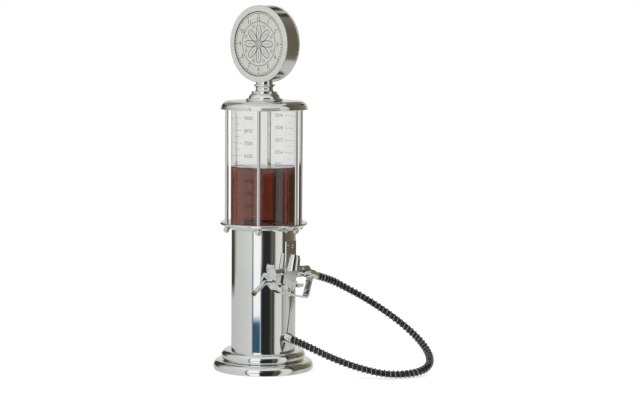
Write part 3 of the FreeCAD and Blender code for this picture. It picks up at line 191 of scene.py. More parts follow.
def route_line(route):
    """Points along the smooth spline that has the route as its control points."""
    curve = bpy.data.curves.new("hose_route", "CURVE")
    curve.dimensions = "3D"
    curve.resolution_u = ROUTE_STEPS
    spline = curve.splines.new("NURBS")
    spline.points.add(len(route) - 1)
    spline.points.foreach_set("co", np.column_stack([route, np.ones(len(route))]).ravel())
    spline.order_u = 3
    spline.use_endpoint_u = True
    return curve_mesh(curve)[0]


def even_line(line, step):
    """The same line with points at even distances of about a step, and its length."""
    runs = np.linalg.norm(np.diff(line, axis=0), axis=1)
    along = np.concatenate([[0], np.cumsum(runs)])
    at = np.linspace(0, along[-1], int(along[-1] / step) + 1)
    return np.stack([np.interp(at, along, line[:, k]) for k in range(3)], axis=1), along[-1]


hose_line, hose_length = even_line(route_line(HOSE_ROUTE), HOSE_STEP)


# ---------------------------------------------------------- finish functions
MOST_NOISE = (0.3, 0.7)    # most of a noise's values lie between these
NOISE_FADE = 0.55          # what is left of the noise from one level of detail to the next


def linear(colour):
    """Linear RGBA from an sRGB hex colour."""
    values = [int(colour[i:i + 2], 16) / 255 for i in (1, 3, 5)]
    return tuple(v / 12.92 if v <= 0.04045 else ((v + 0.055) / 1.055) ** 2.4
                 for v in values) + (1.0,)


def add(tree, kind, inputs=None, **settings):
    """Adds a shader node; an input is a value, or a node or output socket to link from."""
    node = tree.nodes.new("ShaderNode" + kind)
    for key, value in settings.items():
        setattr(node, key, value)
    for key, value in (inputs or {}).items():
        if isinstance(value, bpy.types.Node):
            value = value.outputs[0]
        if isinstance(value, bpy.types.NodeSocket):
            tree.links.new(value, node.inputs[key])
        else:
            node.inputs[key].default_value = value
    return node


def mottle(tree, size_mm, stretch=(1, 1, 1), detail=3.0):
    """Blotches about size_mm across, fixed to the piece; a stretch below 1 makes them longer."""
    place = add(tree, "TexCoord").outputs["Object"]
    stretched = add(tree, "Mapping", {"Vector": place, "Scale": stretch})
    return add(tree, "TexNoise", {
        "Vector": stretched, "Scale": 1.0 / (size_mm * MM), "Detail": detail,
        "Roughness": NOISE_FADE})


def new_finish(name, colour, **even):
    """Material whose shader has the mean colour and the even values on its own sockets."""
    finish = bpy.data.materials.new(name)
    finish.use_nodes = True
    inputs = finish.node_tree.nodes["Principled BSDF"].inputs
    inputs["Base Color"].default_value = linear(colour)
    for key, value in even.items():
        inputs[key.replace("_", " ")].default_value = value
    return finish


def vary(finish, size_mm, stretch=(1, 1, 1), detail=3.0, edges=MOST_NOISE,
         roughness=None, colours=None, relief_mm=None):
    """Mottles a finish: roughness and colour go from a first value to a second; relief rises."""
    tree = finish.node_tree
    shader = tree.nodes["Principled BSDF"]
    blotches = mottle(tree, size_mm, stretch, detail)
    share = {"Value": blotches, "From Min": edges[0], "From Max": edges[1]}
    if roughness:
        dulled = add(tree, "MapRange", {**share, "To Min": roughness[0], "To Max": roughness[1]})
        tree.links.new(dulled.outputs[0], shader.inputs["Roughness"])
    if colours:
        mixed = add(tree, "Mix", {
            "Factor": add(tree, "MapRange", share), 6: linear(colours[0]), 7: linear(colours[1])},
            data_type="RGBA")
        tree.links.new(mixed.outputs[2], shader.inputs["Base Color"])
    if relief_mm:
        raised = add(tree, "Bump", {"Height": blotches, "Distance": relief_mm * MM})
        tree.links.new(raised.outputs[0], shader.inputs["Normal"])


# ----------------------------------------------------------------- finishes
# nickel-chrome plate on buffed steel: a cool mirror with faint haze in patches of 9 mm, over a
# ripple of 26 mm in the metal below, which bends what it mirrors a little
POLISHED = new_finish("polished_chrome_plate", "#F1F2F2", Metallic=1.0)
vary(POLISHED, 9.0, roughness=(0.03, 0.065))
vary(POLISHED, 26.0, detail=1.0, relief_mm=0.012)

# chrome on zinc die castings: a softer mirror, which the casting skin's ripple of 3.5 mm breaks up
CAST_CHROME = new_finish("die_cast_chrome", "#F1F2F2", Metallic=1.0)
vary(CAST_CHROME, 9.0, roughness=(0.08, 0.115))
vary(CAST_CHROME, 3.5, detail=1.0, relief_mm=0.02)

# chrome over a turned drum: tool lines run round it and blur what it mirrors; they are finer than
# 0.2 mm and are drawn 0.9 mm apart so that they show
TURNED = new_finish("turned_chrome_drum", "#F6F6F4", Metallic=1.0)
vary(TURNED, 0.9, stretch=(0.05, 1.0, 0.05), detail=2.0, roughness=(0.10, 0.24), relief_mm=0.02)

# brushed and lacquered nickel sheet: lines across the dial blur what it mirrors into a soft grey,
# drawn 0.5 mm apart so that they show, under clouds of 14 mm in the lacquer
SATIN = new_finish("brushed_satin_nickel", "#FAFAF8", Metallic=1.0)
vary(SATIN, 0.5, stretch=(0.04, 1.0, 1.0), detail=2.0, roughness=(0.28, 0.42), relief_mm=0.01)
vary(SATIN, 14.0, colours=("#F6F6F4", "#FEFEFC"))

# cast acrylic tube: water-clear, with a slight waviness of 30 mm that is longer up the tube
ACRYLIC = new_finish("cast_clear_acrylic", "#FBFBFB", Roughness=0.0, IOR=1.49,
                     Transmission_Weight=1.0)
vary(ACRYLIC, 30.0, stretch=(1, 1, 0.3), detail=0.0, relief_mm=0.05)

# grenadine and cola mix: a deep red-brown, darker the further light goes through it, so that it
# glows only near its edges and foot
DRINK = new_finish("red_brown_drink", "#FFFFFF", Roughness=0.0, IOR=1.34, Transmission_Weight=1.0)
depth = add(DRINK.node_tree, "VolumeAbsorption", {"Color": linear("#C47429"), "Density": 50.0})
DRINK.node_tree.links.new(
    depth.outputs[0], DRINK.node_tree.nodes["Material Output"].inputs["Volume"])

# thin screen-printed ink: dark but see-through, worn in spots of 1.2 mm where hands clean the tube
INK = new_finish("thin_screen_printed_ink", "#463A36", Roughness=0.55, Alpha=0.7)
vary(INK, 1.2, edges=(0.35, 0.65), colours=("#3E3430", "#524842"))

# dark enamel rubbed into the engraved lines: matt, and uneven in spots of 1.6 mm
ENAMEL = new_finish("dark_engraving_enamel", "#343434", Roughness=0.5)
vary(ENAMEL, 1.6, colours=("#2A2B2B", "#434445"))

# extruded black rubber: matt, with a dusty bloom in patches of 5 mm; its grain is finer than
# 0.1 mm and is drawn 0.5 mm across so that it shows
HOSE_RUBBER = new_finish("extruded_black_rubber", "#161617")
vary(HOSE_RUBBER, 5.0, colours=("#101011", "#242425"), roughness=(0.38, 0.58))
vary(HOSE_RUBBER, 0.5, relief_mm=0.03)

# drawn spring-steel wire, nickel plated: bright, dulled by the die's marks, which are hair-fine
# and are drawn 0.8 mm across so that they show
WIRE = new_finish("nickel_plated_spring_wire", "#B4B4B2", Metallic=1.0)
vary(WIRE, 0.8, roughness=(0.16, 0.34))

# turned brass: darkened to orange, in spots of 1.5 mm, by the drink that drips from it
BRASS = new_finish("tarnished_brass", "#C08050", Metallic=1.0)
vary(BRASS, 1.5, colours=("#A2643A", "#DDAA7A"), roughness=(0.22, 0.42))

# zinc-plated steel of the inner screws, plates and flanges: grey, with a bloom in clouds of 4 mm
STEEL = new_finish("zinc_plated_steel", "#B9BBBC", Metallic=1.0)
vary(STEEL, 4.0, roughness=(0.25, 0.45), colours=("#A9ABAC", "#C6C8C8"))

# sand-cast iron ballast: dark and rough; the sand's grain of 0.3 mm is drawn 1.2 mm across so
# that it shows
IRON = new_finish("sand_cast_iron", "#3D3B39", Metallic=0.6, Roughness=0.7)
vary(IRON, 1.2, detail=4.0, colours=("#2E2C2B", "#4E4A47"), relief_mm=0.25)

# moulded black rubber foot and gaskets: matt, with a pebble of 0.9 mm
RUBBER = new_finish("moulded_black_rubber", "#1B1B1C", Roughness=0.75)
vary(RUBBER, 0.9, relief_mm=0.08, colours=("#151516", "#262627"))

# silicone of the seals and the drop tube: milky white with a soft gloss, cloudy in patches of 3 mm
SILICONE = new_finish("milky_silicone", "#D9D8D2", Roughness=0.45)
vary(SILICONE, 3.0, colours=("#CFCEC8", "#E4E3DE"))

# injection-moulded acetal of the outlet, its nut and the plug: white, with a gloss that follows
# the mould's flow in patches of 6 mm, over a texture of 0.4 mm
ACETAL = new_finish("moulded_white_acetal", "#DEDEDA")
vary(ACETAL, 6.0, roughness=(0.32, 0.46))
vary(ACETAL, 0.4, relief_mm=0.01)

NODE_FINISHES = [
    (POLISHED, "base_shell column_tube mid_ring lid finial tie_rod_1 tie_rod_2 tie_rod_3"
               " tie_rod_4 tie_rod_5 tie_rod_6 ball_nuts filler_neck"),
    (CAST_CHROME, "nozzle_body valve_cap spout_collar spout_tube rear_collar hose_nut hanger_stud"
                  " trigger trigger_pin trigger_guard holder_bracket holder_screws fitting_collar"
                  " valve_stem"),
    (TURNED, "dial_housing"),
    (SATIN, "front_bezel rear_bezel front_face rear_face"),
    (ACRYLIC, "canister"),
    (BRASS, "spout_tip hose_fitting"),
    (STEEL, "base_plate base_screws column_foot_flange column_top_flange deck_screws fitting_nut"
            " finial_stud"),
    (IRON, "ballast"),
    (WIRE, "valve_spring hose_spring"),
    (HOSE_RUBBER, "hose"),
    (RUBBER, "foot_pad fitting_washer valve_seal"),
    (SILICONE, "lower_gasket upper_gasket outlet_seal plug_seal drop_tube"),
    (ACETAL, "outlet_fitting outlet_nut filler_plug"),
]
for finish, names in NODE_FINISHES:
    for name in names.split():
        slots = nodes[name].data.materials
        slots.clear()
        slots.append(finish)


# ---------------------------------------------------------------- hose pieces
def make_hose():
    """Rubber tube in a wire coil: coil(s) = line(s) + R (cos ws N(s) + sin ws B(s))."""
    tube = new_piece("hose_rubber_tube", *swept_tube(hose_line, HOSE_R, HOSE_SIDES), HOSE_RUBBER)
    fine, _ = even_line(hose_line, COIL_PITCH / COIL_STEPS)
    normal, binormal = frames_along(fine)
    turn = np.linspace(0, 2 * np.pi * hose_length / COIL_PITCH, len(fine))[:, None]
    coil = fine + COIL_R * (np.cos(turn) * normal + np.sin(turn) * binormal)
    spring = new_piece("hose_spring_wire", *swept_tube(coil, WIRE_R, WIRE_SIDES), WIRE)
    for piece in (tube, spring):
        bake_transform(piece)
    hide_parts("hose")
    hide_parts("hose_spring")


make_hose()


# ----------------------------------------------------------- valve's spring
# its place in the nozzle and its size, in millimetres
VALVE_X, VALVE_Y = 56, -3.4
VALVE_COIL_FOOT, VALVE_COIL_HEIGHT = 139.7, 9
VALVE_COIL_R = 3
VALVE_COIL_TURNS = 5
VALVE_COIL_STEPS = 24      # to a turn
VALVE_WIRE_R = 0.5


def make_valve_spring():
    """Spring over the valve: x, y = R cos a, R sin a of its turns while z rises evenly."""
    share = np.linspace(0, 1, VALVE_COIL_STEPS * VALVE_COIL_TURNS + 1)[:, None]
    turn = 2 * np.pi * VALVE_COIL_TURNS * share
    line = np.concatenate([
        VALVE_X + VALVE_COIL_R * np.cos(turn), VALVE_Y + VALVE_COIL_R * np.sin(turn),
        VALVE_COIL_FOOT + VALVE_COIL_HEIGHT * share], axis=1) * MM
    tube = swept_tube(line, VALVE_WIRE_R * MM, WIRE_SIDES)
    spring = new_piece("valve_closing_spring", *tube, WIRE)
    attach(spring, "nozzle")
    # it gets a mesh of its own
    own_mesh(spring)
    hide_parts("valve_spring")


make_valve_spring()


# ----------------------------------------------------------- flat line work
def ribbon(line, width, closed=False):
    """Flat strip along an (n, 2) line: point(s, t) = line(s) + t width/2 n(s), t in -1..1."""
    if closed:
        tangent = np.roll(line, -1, axis=0) - np.roll(line, 1, axis=0)
    else:
        tangent = np.gradient(line, axis=0)
    tangent = tangent / np.linalg.norm(tangent, axis=1)[:, None]
    side = np.stack([-tangent[:, 1], tangent[:, 0]], axis=1) * width / 2
    points = np.stack([line - side, line + side], axis=1).reshape(-1, 2)
    quads = grid_faces(len(line), 2, wrap_rows=closed)
    return points, np.concatenate([quads[:, [0, 1, 2]], quads[:, [0, 2, 3]]])


def circle(radius, centre=(0.0, 0.0), count=96):
    """Points of a circle: centre + radius (cos a, sin a)."""
    angle = np.linspace(0, 2 * np.pi, count, endpoint=False)
    return np.stack([centre[0] + radius * np.cos(angle), centre[1] + radius * np.sin(angle)],
                    axis=1)


def straight(start, end, count=2):
    """Points of a straight line, at even distances from its start to its end."""
    return np.linspace(np.asarray(start, float), np.asarray(end, float), count)


def turned_by(points, degrees):
    """Flat points turned anticlockwise about the origin: (x cos a - y sin a, x sin a + y cos a)."""
    a = math.radians(degrees)
    return points @ np.array([[math.cos(a), math.sin(a)], [-math.sin(a), math.cos(a)]])


LETTER_STEPS = 3           # points on each curve of a letter


def flat_text(words, height, width=None):
    """Points (n, 2) and triangles of plain text, centred, of a height and, if given, a width."""
    curve = bpy.data.curves.new("lettering", "FONT")
    curve.body = words
    curve.resolution_u = LETTER_STEPS
    curve.fill_mode = "FRONT"
    points, faces = curve_mesh(curve)
    points = points[:, :2]
    low, high = points.min(axis=0), points.max(axis=0)
    points = (points - (low + high) / 2) * (height / (high[1] - low[1]))
    if width:
        points[:, 0] *= width / np.ptp(points[:, 0])
    return points, faces


# ---------------------------------------------------------------- dial faces
FACE_LOW, FACE_HIGH = (np.array(v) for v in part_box("front_face"))
DIAL_Z = (FACE_LOW[2] + FACE_HIGH[2]) / 2
FACE_AWAY = abs(FACE_LOW[1])

# the dial's design, in millimetres from its middle
ENGRAVING_PROUD = 0.03
DIAL_RINGS = ((43.1, 1.2), (40.9, 0.45), (29.6, 0.7))       # radius and width
RING_POINTS = 160
TICK_END = 40.9
TICKS = 60
HOURS = 12
HOUR_TICK, SHORT_TICK = (37.6, 0.9), (39.2, 0.45)           # start and width
NUMBER_R, NUMBER_HEIGHT = 33.6, 5.4
PETALS = 8
PETAL_FOOT, PETAL_LENGTH, PETAL_HALF, PETAL_WIDTH = 6.0, 19.0, 4.4, 0.85
PETAL_POWER, PETAL_POINTS = 0.8, 24
PETAL_GAP = 0.06                     # of t, which leaves a petal open at its two ends
VEIN_START, VEIN_END, VEIN_WIDTH = 10.5, 20.5, 0.5
BUD_AWAY, BUD_R, BUD_WIDTH, BUD_POINTS = 24.6, 1.7, 0.6, 24
HEART_RINGS = ((4.6, 0.9, 48), (2.2, 0.7, 32))              # radius, width and points


def dial_lines():
    """Flat line work of the dial: rings, ticks, numbers and an eight-petalled rosette.

    A petal's edge goes out as foot + length (1 - cos t) / 2 and aside as half width sin(t)^power.
    """
    parts = [ribbon(circle(radius, count=RING_POINTS), width, closed=True)
             for radius, width in DIAL_RINGS]
    for step in range(TICKS):
        angle = math.radians(360 / TICKS * step)
        way = np.array([math.sin(angle), math.cos(angle)])
        start, width = SHORT_TICK if step % (TICKS // HOURS) else HOUR_TICK
        parts.append(ribbon(straight(way * start, way * TICK_END), width))
    for hour in range(1, HOURS + 1):
        points, faces = flat_text(str(hour), NUMBER_HEIGHT)
        angle = math.radians(360 / HOURS * hour)
        parts.append((points + NUMBER_R * np.array([math.sin(angle), math.cos(angle)]), faces))
    t = np.linspace(PETAL_GAP, np.pi - PETAL_GAP, PETAL_POINTS)
    out = PETAL_FOOT + PETAL_LENGTH * (1 - np.cos(t)) / 2
    for petal in range(PETALS):
        turn = 360 / PETALS * petal
        for side in (-1, 1):
            edge = np.stack([side * PETAL_HALF * np.sin(t) ** PETAL_POWER, out], axis=1)
            parts.append(ribbon(turned_by(edge, turn), PETAL_WIDTH))
        vein = straight((0, VEIN_START), (0, VEIN_END))
        parts.append(ribbon(turned_by(vein, turn), VEIN_WIDTH))
        bud = turned_by(np.array([[0.0, BUD_AWAY]]), turn + 180 / PETALS)[0]
        parts.append(ribbon(circle(BUD_R, bud, BUD_POINTS), BUD_WIDTH, closed=True))
    parts += [ribbon(circle(radius, count=count), width, closed=True)
              for radius, width, count in HEART_RINGS]
    return joined(parts)


def make_dial_face(side):
    """Engraving on the drum's front (side -1) or rear (side 1) face plate, a hair proud of it."""
    points, faces = dial_lines()
    proud = np.full(len(points), side * ENGRAVING_PROUD)
    place = np.stack([-side * points[:, 0], proud, points[:, 1]], axis=1) * MM
    place += (0, side * FACE_AWAY, DIAL_Z)
    label = "front" if side < 0 else "rear"
    engraving = new_piece(label + "_dial_engraving", place, faces, ENAMEL, "dial_head")


make_dial_face(-1)
make_dial_face(1)


# -------------------------------------------------------------- canister scale
CANISTER_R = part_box("canister")[1][0]
SCALE_MIDDLES = (-11.5, 168.5)       # degrees round the tube, from the front
FIGURE_TURN = 25.3                   # degrees from the lines' middle to the number's
SCALE_TOP_Z = 0.3441                 # the 900 ml line
HUNDREDS = 9
LINE_POINTS, UPRIGHT_POINTS = 9, 40
# in millimetres
SCALE_STEP = 16.85                   # for each 100 ml
INK_PROUD = 0.04
LONG_LINE, SHORT_LINE, LINE_WIDTH = 21.0, 9.0, 0.42
UPRIGHT_WIDTH = 0.3
FIGURE_HEIGHT, FIGURE_WIDTH = 5.2, 12.4


def wrapped(flat, middle_deg, z_mm, radius):
    """Flat (x, y) millimetres and their faces rolled round the tube.

    The angle is x over the radius, from middle_deg, and the height is y above z_mm.
    """
    points, faces = flat
    angle = math.radians(middle_deg) + points[:, 0] * MM / radius
    height = (z_mm + points[:, 1]) * MM
    return np.stack([radius * np.sin(angle), -radius * np.cos(angle), height], axis=1), faces


def make_scales():
    """Two printed scales, opposite each other.

    Each has a long line with a number for each 100 ml, and short lines between.
    """
    radius = CANISTER_R + INK_PROUD * MM
    top = SCALE_TOP_Z / MM
    long_line, short_line = (
        ribbon(straight((-length / 2, 0), (length / 2, 0), LINE_POINTS), LINE_WIDTH)
        for length in (LONG_LINE, SHORT_LINE))
    drop = -SCALE_STEP * (HUNDREDS - 0.5)
    upright = ribbon(straight((0, drop), (0, 0), UPRIGHT_POINTS), UPRIGHT_WIDTH)
    parts = []
    for middle in SCALE_MIDDLES:
        for hundred in range(1, HUNDREDS + 1):
            z = top - SCALE_STEP * (HUNDREDS - hundred)
            figure = flat_text("%d00" % hundred, FIGURE_HEIGHT, FIGURE_WIDTH)
            parts.append(wrapped(long_line, middle, z, radius))
            parts.append(wrapped(short_line, middle, z - SCALE_STEP / 2, radius))
            parts.append(wrapped(figure, middle + FIGURE_TURN, z, radius))
        parts.append(wrapped(upright, middle, top, radius))
    scales = new_piece("canister_scales", *joined(parts), INK, "stand")


make_scales()


# ---------------------------------------------------------------------- drink
# in millimetres; the drink laps a little into wall and floor, so that no air shows between them
CANISTER_WALL, CANISTER_FLOOR = 2.3, 200.1
WALL_LAP, FLOOR_LAP = 0.05, 0.02
DRINK_R = CANISTER_R / MM - CANISTER_WALL + WALL_LAP
DRINK_FLOOR = CANISTER_FLOOR - FLOOR_LAP
DRINK_LEVEL = 276.2
CREEP_HEIGHT, CREEP_REACH = 1.3, 1.6
CREEP_BAND = 7.0                     # this near the wall the surface has closer rings
BAND_GAP = 1.0
CORNER_TOP = 0.6                     # the side ends this high, and the foot's corner begins
CORNER = ((0.2, 0.15), (0.7, 0.0))   # in from the wall and up from the floor
MIDDLE_RINGS, CREEP_RINGS, SIDE_RINGS, DRINK_SIDES = 10, 16, 12, 128


def turned(profile, count):
    """Surface of revolution: point(i, a) = (r_i sin a, -r_i cos a, z_i), closed by a point at each
    end of the profile, which lies on the axis."""
    angle = np.linspace(0, 2 * np.pi, count, endpoint=False)
    r, z = profile[1:-1, 0][:, None], profile[1:-1, 1][:, None]
    rings = np.stack([r * np.sin(angle), -r * np.cos(angle), z + 0 * angle], axis=-1)
    rings = rings.reshape(-1, 3)
    ends = [(0.0, 0.0, profile[0, 1]), (0.0, 0.0, profile[-1, 1])]
    first, last = len(rings), len(rings) - count
    here = np.arange(count)
    ahead = (here + 1) % count
    top = np.stack([np.full(count, first), here, ahead], axis=1)
    foot = np.stack([last + ahead, last + here, np.full(count, first + 1)], axis=1)
    quads = grid_faces(len(profile) - 2, count, wrap_columns=True)
    return np.concatenate([rings, ends]), quads.tolist() + top.tolist() + foot.tolist()


def make_drink():
    """Liquid in the canister: its surface climbs the wall as height exp(-distance / reach)."""
    wall, floor = DRINK_R, DRINK_FLOOR
    out = np.concatenate([np.linspace(0, wall - CREEP_BAND - BAND_GAP, MIDDLE_RINGS),
                          np.linspace(wall - CREEP_BAND, wall, CREEP_RINGS)])
    creep = CREEP_HEIGHT * np.exp(-(wall - out) / CREEP_REACH)
    surface = np.stack([out, DRINK_LEVEL + creep], axis=1)
    side = straight((wall, DRINK_LEVEL), (wall, floor + CORNER_TOP), SIDE_RINGS)
    corner = np.array([[wall, floor]]) + np.array(CORNER) * (-1, 1)
    foot = straight((wall / 2, floor), (0, floor))
    profile = np.concatenate([surface, side, corner, foot]) * MM
    points, faces = turned(profile, DRINK_SIDES)
    new_piece("drink", points, faces, DRINK, "stand", sharp_deg=50)


make_drink()


# --------------------------------------------------------------------- studio
WHITE = (1.0, 1.0, 1.0, 1.0)
SEEN_THROUGH = linear("#E9E9E7")     # the room as the clear tube shows it
LAMP_TARGET = Vector((0, 0, 0.2))
SURROUND_R = 0.75
SURROUND_FOOT, SURROUND_TOP = -0.9, 1.5
SURROUND_ROWS, SURROUND_SIDES = 13, 180
FLOOR_RINGS = [0.0, 0.1, 0.3, 1.0, 4.0, 12.0]
FLOOR_SIDES = 96
FLOOR_Z = -0.0002                    # just under the foot pad
FLOOR_GLOW = 0.58                    # with the light on the rest of its colour, it makes white
FLOOR_REST = (0.62, 0.62, 0.62, 1.0)
ROOM_LIGHT = 0.72
WALL_FOOT = (0.035, 0.065)           # the table gives way to the wall between these heights
PAPER_TOOTH_MM = 2.0

# what mirrors see: degrees from the camera's side, growing to its right, with the colour there
CEILING_BAND = [
    (-180, "#C4C4C0"), (-164, "#B4B4B0"), (-140, "#7E7E7A"), (-118, "#8C8C88"), (-98, "#D8D8D4"),
    (-60, "#E6E6E4"), (-8, "#E6E6E4"), (62, "#CFCFCB"), (72, "#5A584F"), (100, "#5F5B50"),
    (132, "#767163"), (138, "#232321"), (149, "#2A2A28"), (154, "#D4D4D0"), (161, "#6E6C66"),
    (166, "#232321"), (172, "#2C2C2A"), (177, "#BDBDB9")]
WALL_BAND = [
    (-180, "#D8D8D4"), (-160, "#D0CFCA"), (-154, "#3E3D37"), (-134, "#38372F"), (-121, "#7C7B72"),
    (-115, "#B1B1A9"), (-107, "#CACAC4"), (-55, "#D3D5D0"), (-42, "#D8DAD7"), (-38.5, "#8E9190"),
    (-36.5, "#8E9190"), (-33.5, "#FFFFFF"), (-11, "#FFFFFF"), (-5, "#54575C"), (1, "#2E2E31"),
    (21, "#2E2D2A"), (30, "#66645C"), (38, "#54514A"), (40.5, "#A9A7A0"), (45, "#DDDBD4"),
    (66, "#E4E3DE"), (70, "#4E4B42"), (76, "#504D44"), (86, "#645F51"), (96, "#605B4B"),
    (107, "#6D6853"), (128, "#7A755F"), (137, "#8C8672"), (146, "#ABA594"), (158, "#CCC8BD"),
    (174, "#D8D8D4")]
TABLE_BAND = [
    (-180, "#E6E6E4"), (-150, "#BFBFBD"), (-110, "#C6C6C4"), (-60, "#CFD0CB"), (-42, "#D4D6D5"),
    (-38.5, "#7E8689"), (-36.5, "#7E8689"), (-33.5, "#FCFEFF"), (-12, "#FCFEFF"), (-8, "#3A4046"),
    (-3, "#23272B"), (21, "#2A2A26"), (27, "#5C5B51"), (33.5, "#393831"), (36, "#4B4A42"),
    (38.5, "#94928A"), (41, "#CBC9C3"), (45, "#DAD9D4"), (65, "#DAD9D4"), (68, "#8C8C87"),
    (76, "#B4B5B0"), (96, "#C6C7C3"), (112, "#BDBDB9"), (150, "#C6C6C3"), (172, "#E6E6E4")]
BLUE_SHEET = "#38566E"


def bare_material(name):
    """Material without any node, and its tree."""
    material = bpy.data.materials.new(name)
    material.use_nodes = True
    material.node_tree.nodes.clear()
    return material, material.node_tree


def turn_share(degrees):
    """Degrees from the camera's side as a share of the turn, 0.5 on that side."""
    return degrees / 360 + 0.5


def round_and_up(tree):
    """Angle round the upright axis, as turn_share gives it, and height above the floor."""
    place = add(tree, "SeparateXYZ", {"Vector": add(tree, "TexCoord").outputs["Object"]})
    back = add(tree, "Math", {0: place.outputs["Y"], 1: -1.0}, operation="MULTIPLY")
    angle = add(tree, "Math", {0: place.outputs["X"], 1: back}, operation="ARCTAN2")
    seen = add(tree, "Math", {0: angle, 1: math.radians(VIEW_DEG)}, operation="SUBTRACT")
    share = add(tree, "Math", {0: seen, 1: 1 / (2 * math.pi)}, operation="MULTIPLY")
    shifted = add(tree, "Math", {0: share, 1: 1.5}, operation="ADD")
    return add(tree, "Math", {0: shifted}, operation="FRACT"), place.outputs["Z"]


def make_surround():
    """Softboxes, flags, walls and ceiling of the studio, as one upright ring that mirrors see."""
    material, tree = bare_material("softboxes_and_flags")
    angle, height = round_and_up(tree)
    bands = []
    for stops in (CEILING_BAND, WALL_BAND, TABLE_BAND):
        band = add(tree, "ValToRGB", {"Fac": angle})
        elements = band.color_ramp.elements
        for index, (degrees, colour) in enumerate(stops):
            element = elements[index] if index < 2 else elements.new(turn_share(degrees))
            element.position = turn_share(degrees)
            element.color = linear(colour)
        bands.append(band)
    ceiling, wall, table = bands
    # an edge takes its first value up to its start and its second from its end
    edges = {}
    for name, along, start, end, first, second in (
            ("sheet_left", angle, turn_share(-39), turn_share(-37), 0.0, 1.0),
            ("sheet_right", angle, turn_share(-13), turn_share(-9), 1.0, 0.0),
            ("sheet_foot", height, -0.125, -0.112, 0.0, 1.0),
            ("sheet_top", height, -0.046, -0.034, 1.0, 0.0),
            ("right_reach", angle, turn_share(91), turn_share(104), 0.0, 0.07),
            ("left_reach", angle, turn_share(-125), turn_share(-112), 0.05, 0.0),
            ("ceiling_foot", height, 0.56, 0.60, 0.0, 1.0),
            ("drink_level", height, 0.205, 0.215, 0.0, 1.0)):
        edges[name] = add(tree, "MapRange", {
            "Value": along, "From Min": start, "From Max": end, "To Min": first, "To Max": second})
    # a blue sheet lies on the table in front of the softbox
    wide = add(tree, "Math", {0: edges["sheet_left"], 1: edges["sheet_right"]},
               operation="MULTIPLY")
    high = add(tree, "Math", {0: edges["sheet_foot"], 1: edges["sheet_top"]},
               operation="MULTIPLY")
    sheet = add(tree, "Math", {0: wide, 1: high}, operation="MULTIPLY")
    table = add(tree, "Mix", {"Factor": sheet, 6: table, 7: linear(BLUE_SHEET)}, data_type="RGBA")
    # the wall reaches lower on the right beyond 91 degrees, and on the left beyond 112
    reach = add(tree, "Math", {0: edges["right_reach"], 1: edges["left_reach"]}, operation="ADD")
    raised = add(tree, "Math", {0: height, 1: reach}, operation="ADD")
    above_table = add(tree, "MapRange", {
        "Value": raised, "From Min": WALL_FOOT[0], "From Max": WALL_FOOT[1]})
    sides = add(tree, "Mix", {"Factor": above_table, 6: table.outputs[2], 7: wall},
                data_type="RGBA")
    room = add(tree, "Mix", {"Factor": edges["ceiling_foot"], 6: sides.outputs[2], 7: ceiling},
               data_type="RGBA")
    shine = add(tree, "Emission", {"Color": room.outputs[2]})
    # rays that leave the clear tube pass on to the white room, but below the drink's level those
    # that a mirror has turned do not
    path = add(tree, "LightPath")
    unmirrored = add(tree, "Math", {0: path.outputs["Glossy Depth"], 1: 0.5},
                     operation="LESS_THAN")
    either = add(tree, "Math", {0: unmirrored, 1: edges["drink_level"]}, operation="MAXIMUM")
    passing = add(tree, "Math", {0: path.outputs["Is Transmission Ray"], 1: either},
                  operation="MULTIPLY")
    shown = add(tree, "MixShader", {"Fac": passing, 1: shine, 2: add(tree, "BsdfTransparent")})
    add(tree, "OutputMaterial", {"Surface": shown})
    turn = np.linspace(0, 2 * np.pi, SURROUND_SIDES, endpoint=False)
    z = np.linspace(SURROUND_FOOT, SURROUND_TOP, SURROUND_ROWS)[:, None]
    points = np.stack([SURROUND_R * np.sin(turn) + 0 * z, -SURROUND_R * np.cos(turn) + 0 * z,
                       z + 0 * turn], axis=-1)
    faces = grid_faces(SURROUND_ROWS, SURROUND_SIDES, wrap_columns=True)
    ring = new_piece("studio_surround", points, faces, material)
    ring.visible_camera = False
    ring.visible_diffuse = False
    ring.visible_volume_scatter = False
    ring.visible_shadow = False


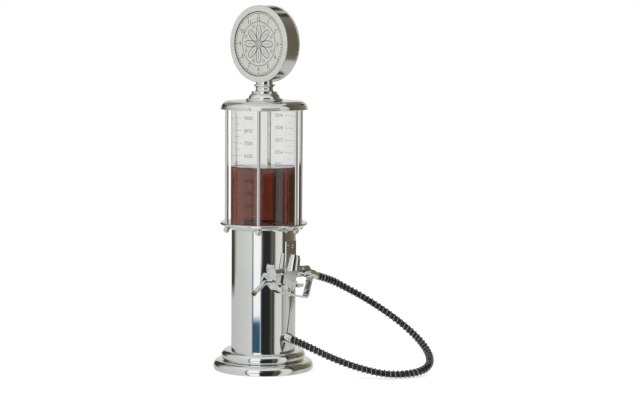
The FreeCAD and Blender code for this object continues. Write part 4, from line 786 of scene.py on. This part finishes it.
def make_floor():
    """Pale paper sweep, its fine tooth drawn 2 mm across so that it shows.

    Its own light brings it to white for the eye, and the rest of its colour carries the shadow.
    """
    material, tree = bare_material("pale_paper_sweep")
    tooth = add(tree, "MapRange", {
        "Value": mottle(tree, PAPER_TOOTH_MM), "From Min": MOST_NOISE[0],
        "From Max": MOST_NOISE[1]})
    paper = add(tree, "Mix", {"Factor": tooth, 6: linear("#DCDCDA"), 7: linear("#E2E2E0")},
                data_type="RGBA")
    matt = add(tree, "BsdfDiffuse", {"Color": paper.outputs[2]})
    glow = add(tree, "Emission", {"Color": WHITE, "Strength": FLOOR_GLOW})
    shaded = add(tree, "BsdfDiffuse", {"Color": FLOOR_REST})
    white = add(tree, "AddShader", {0: glow, 1: shaded})
    through = add(tree, "Emission", {"Color": SEEN_THROUGH, "Strength": 1.0})
    path = add(tree, "LightPath")
    seen = add(tree, "MixShader", {"Fac": path.outputs["Is Camera Ray"], 1: matt, 2: white})
    seen = add(tree, "MixShader", {"Fac": path.outputs["Is Transmission Ray"], 1: seen, 2: through})
    add(tree, "OutputMaterial", {"Surface": seen})
    a = np.linspace(0, 2 * np.pi, FLOOR_SIDES, endpoint=False)[None, :]
    r = np.array(FLOOR_RINGS)[:, None]
    points = np.stack([r * np.cos(a), r * np.sin(a), FLOOR_Z + 0 * r * a], axis=-1)
    faces = grid_faces(len(FLOOR_RINGS), FLOOR_SIDES, wrap_columns=True)
    floor = new_piece("paper_sweep", points, faces, material)
    floor.visible_glossy = False


def make_world():
    """White room to the eye, a shade greyer through the clear tube, a grey ceiling in mirrors."""
    world = bpy.data.worlds.new("white_room")
    bpy.context.scene.world = world
    world.use_nodes = True
    tree = world.node_tree
    tree.nodes.clear()
    path = add(tree, "LightPath")
    seen = add(tree, "Background", {"Color": WHITE, "Strength": ROOM_LIGHT})
    for ray, colour in (("Is Glossy Ray", linear("#CFCFCB")), ("Is Transmission Ray", SEEN_THROUGH),
                        ("Is Camera Ray", WHITE)):
        shown = add(tree, "Background", {"Color": colour, "Strength": 1.0})
        seen = add(tree, "MixShader", {"Fac": path.outputs[ray], 1: seen, 2: shown})
    add(tree, "OutputWorld", {"Surface": seen})


def make_lamp(name, place, size, watts):
    """Soft rectangular lamp, aimed at the column, which mirrors and the clear tube do not show."""
    data = bpy.data.lights.new(name, "AREA")
    data.shape = "RECTANGLE"
    data.size, data.size_y = size
    data.energy = watts
    lamp = bpy.data.objects.new(name, data)
    lamp.matrix_world = aimed(Vector(place), LAMP_TARGET)
    bpy.context.scene.collection.objects.link(lamp)
    lamp.visible_glossy = False
    lamp.visible_camera = False
    lamp.visible_transmission = False


make_surround()
make_floor()
make_world()
make_lamp("key_softbox", place=(0.2, -1.5, 1.5), size=(1.0, 1.2), watts=14.0)
make_lamp("fill_softbox", place=(1.6, 0.4, 1.2), size=(1.0, 1.0), watts=6.0)

bpy.context.scene.view_settings.view_transform = "Standard"
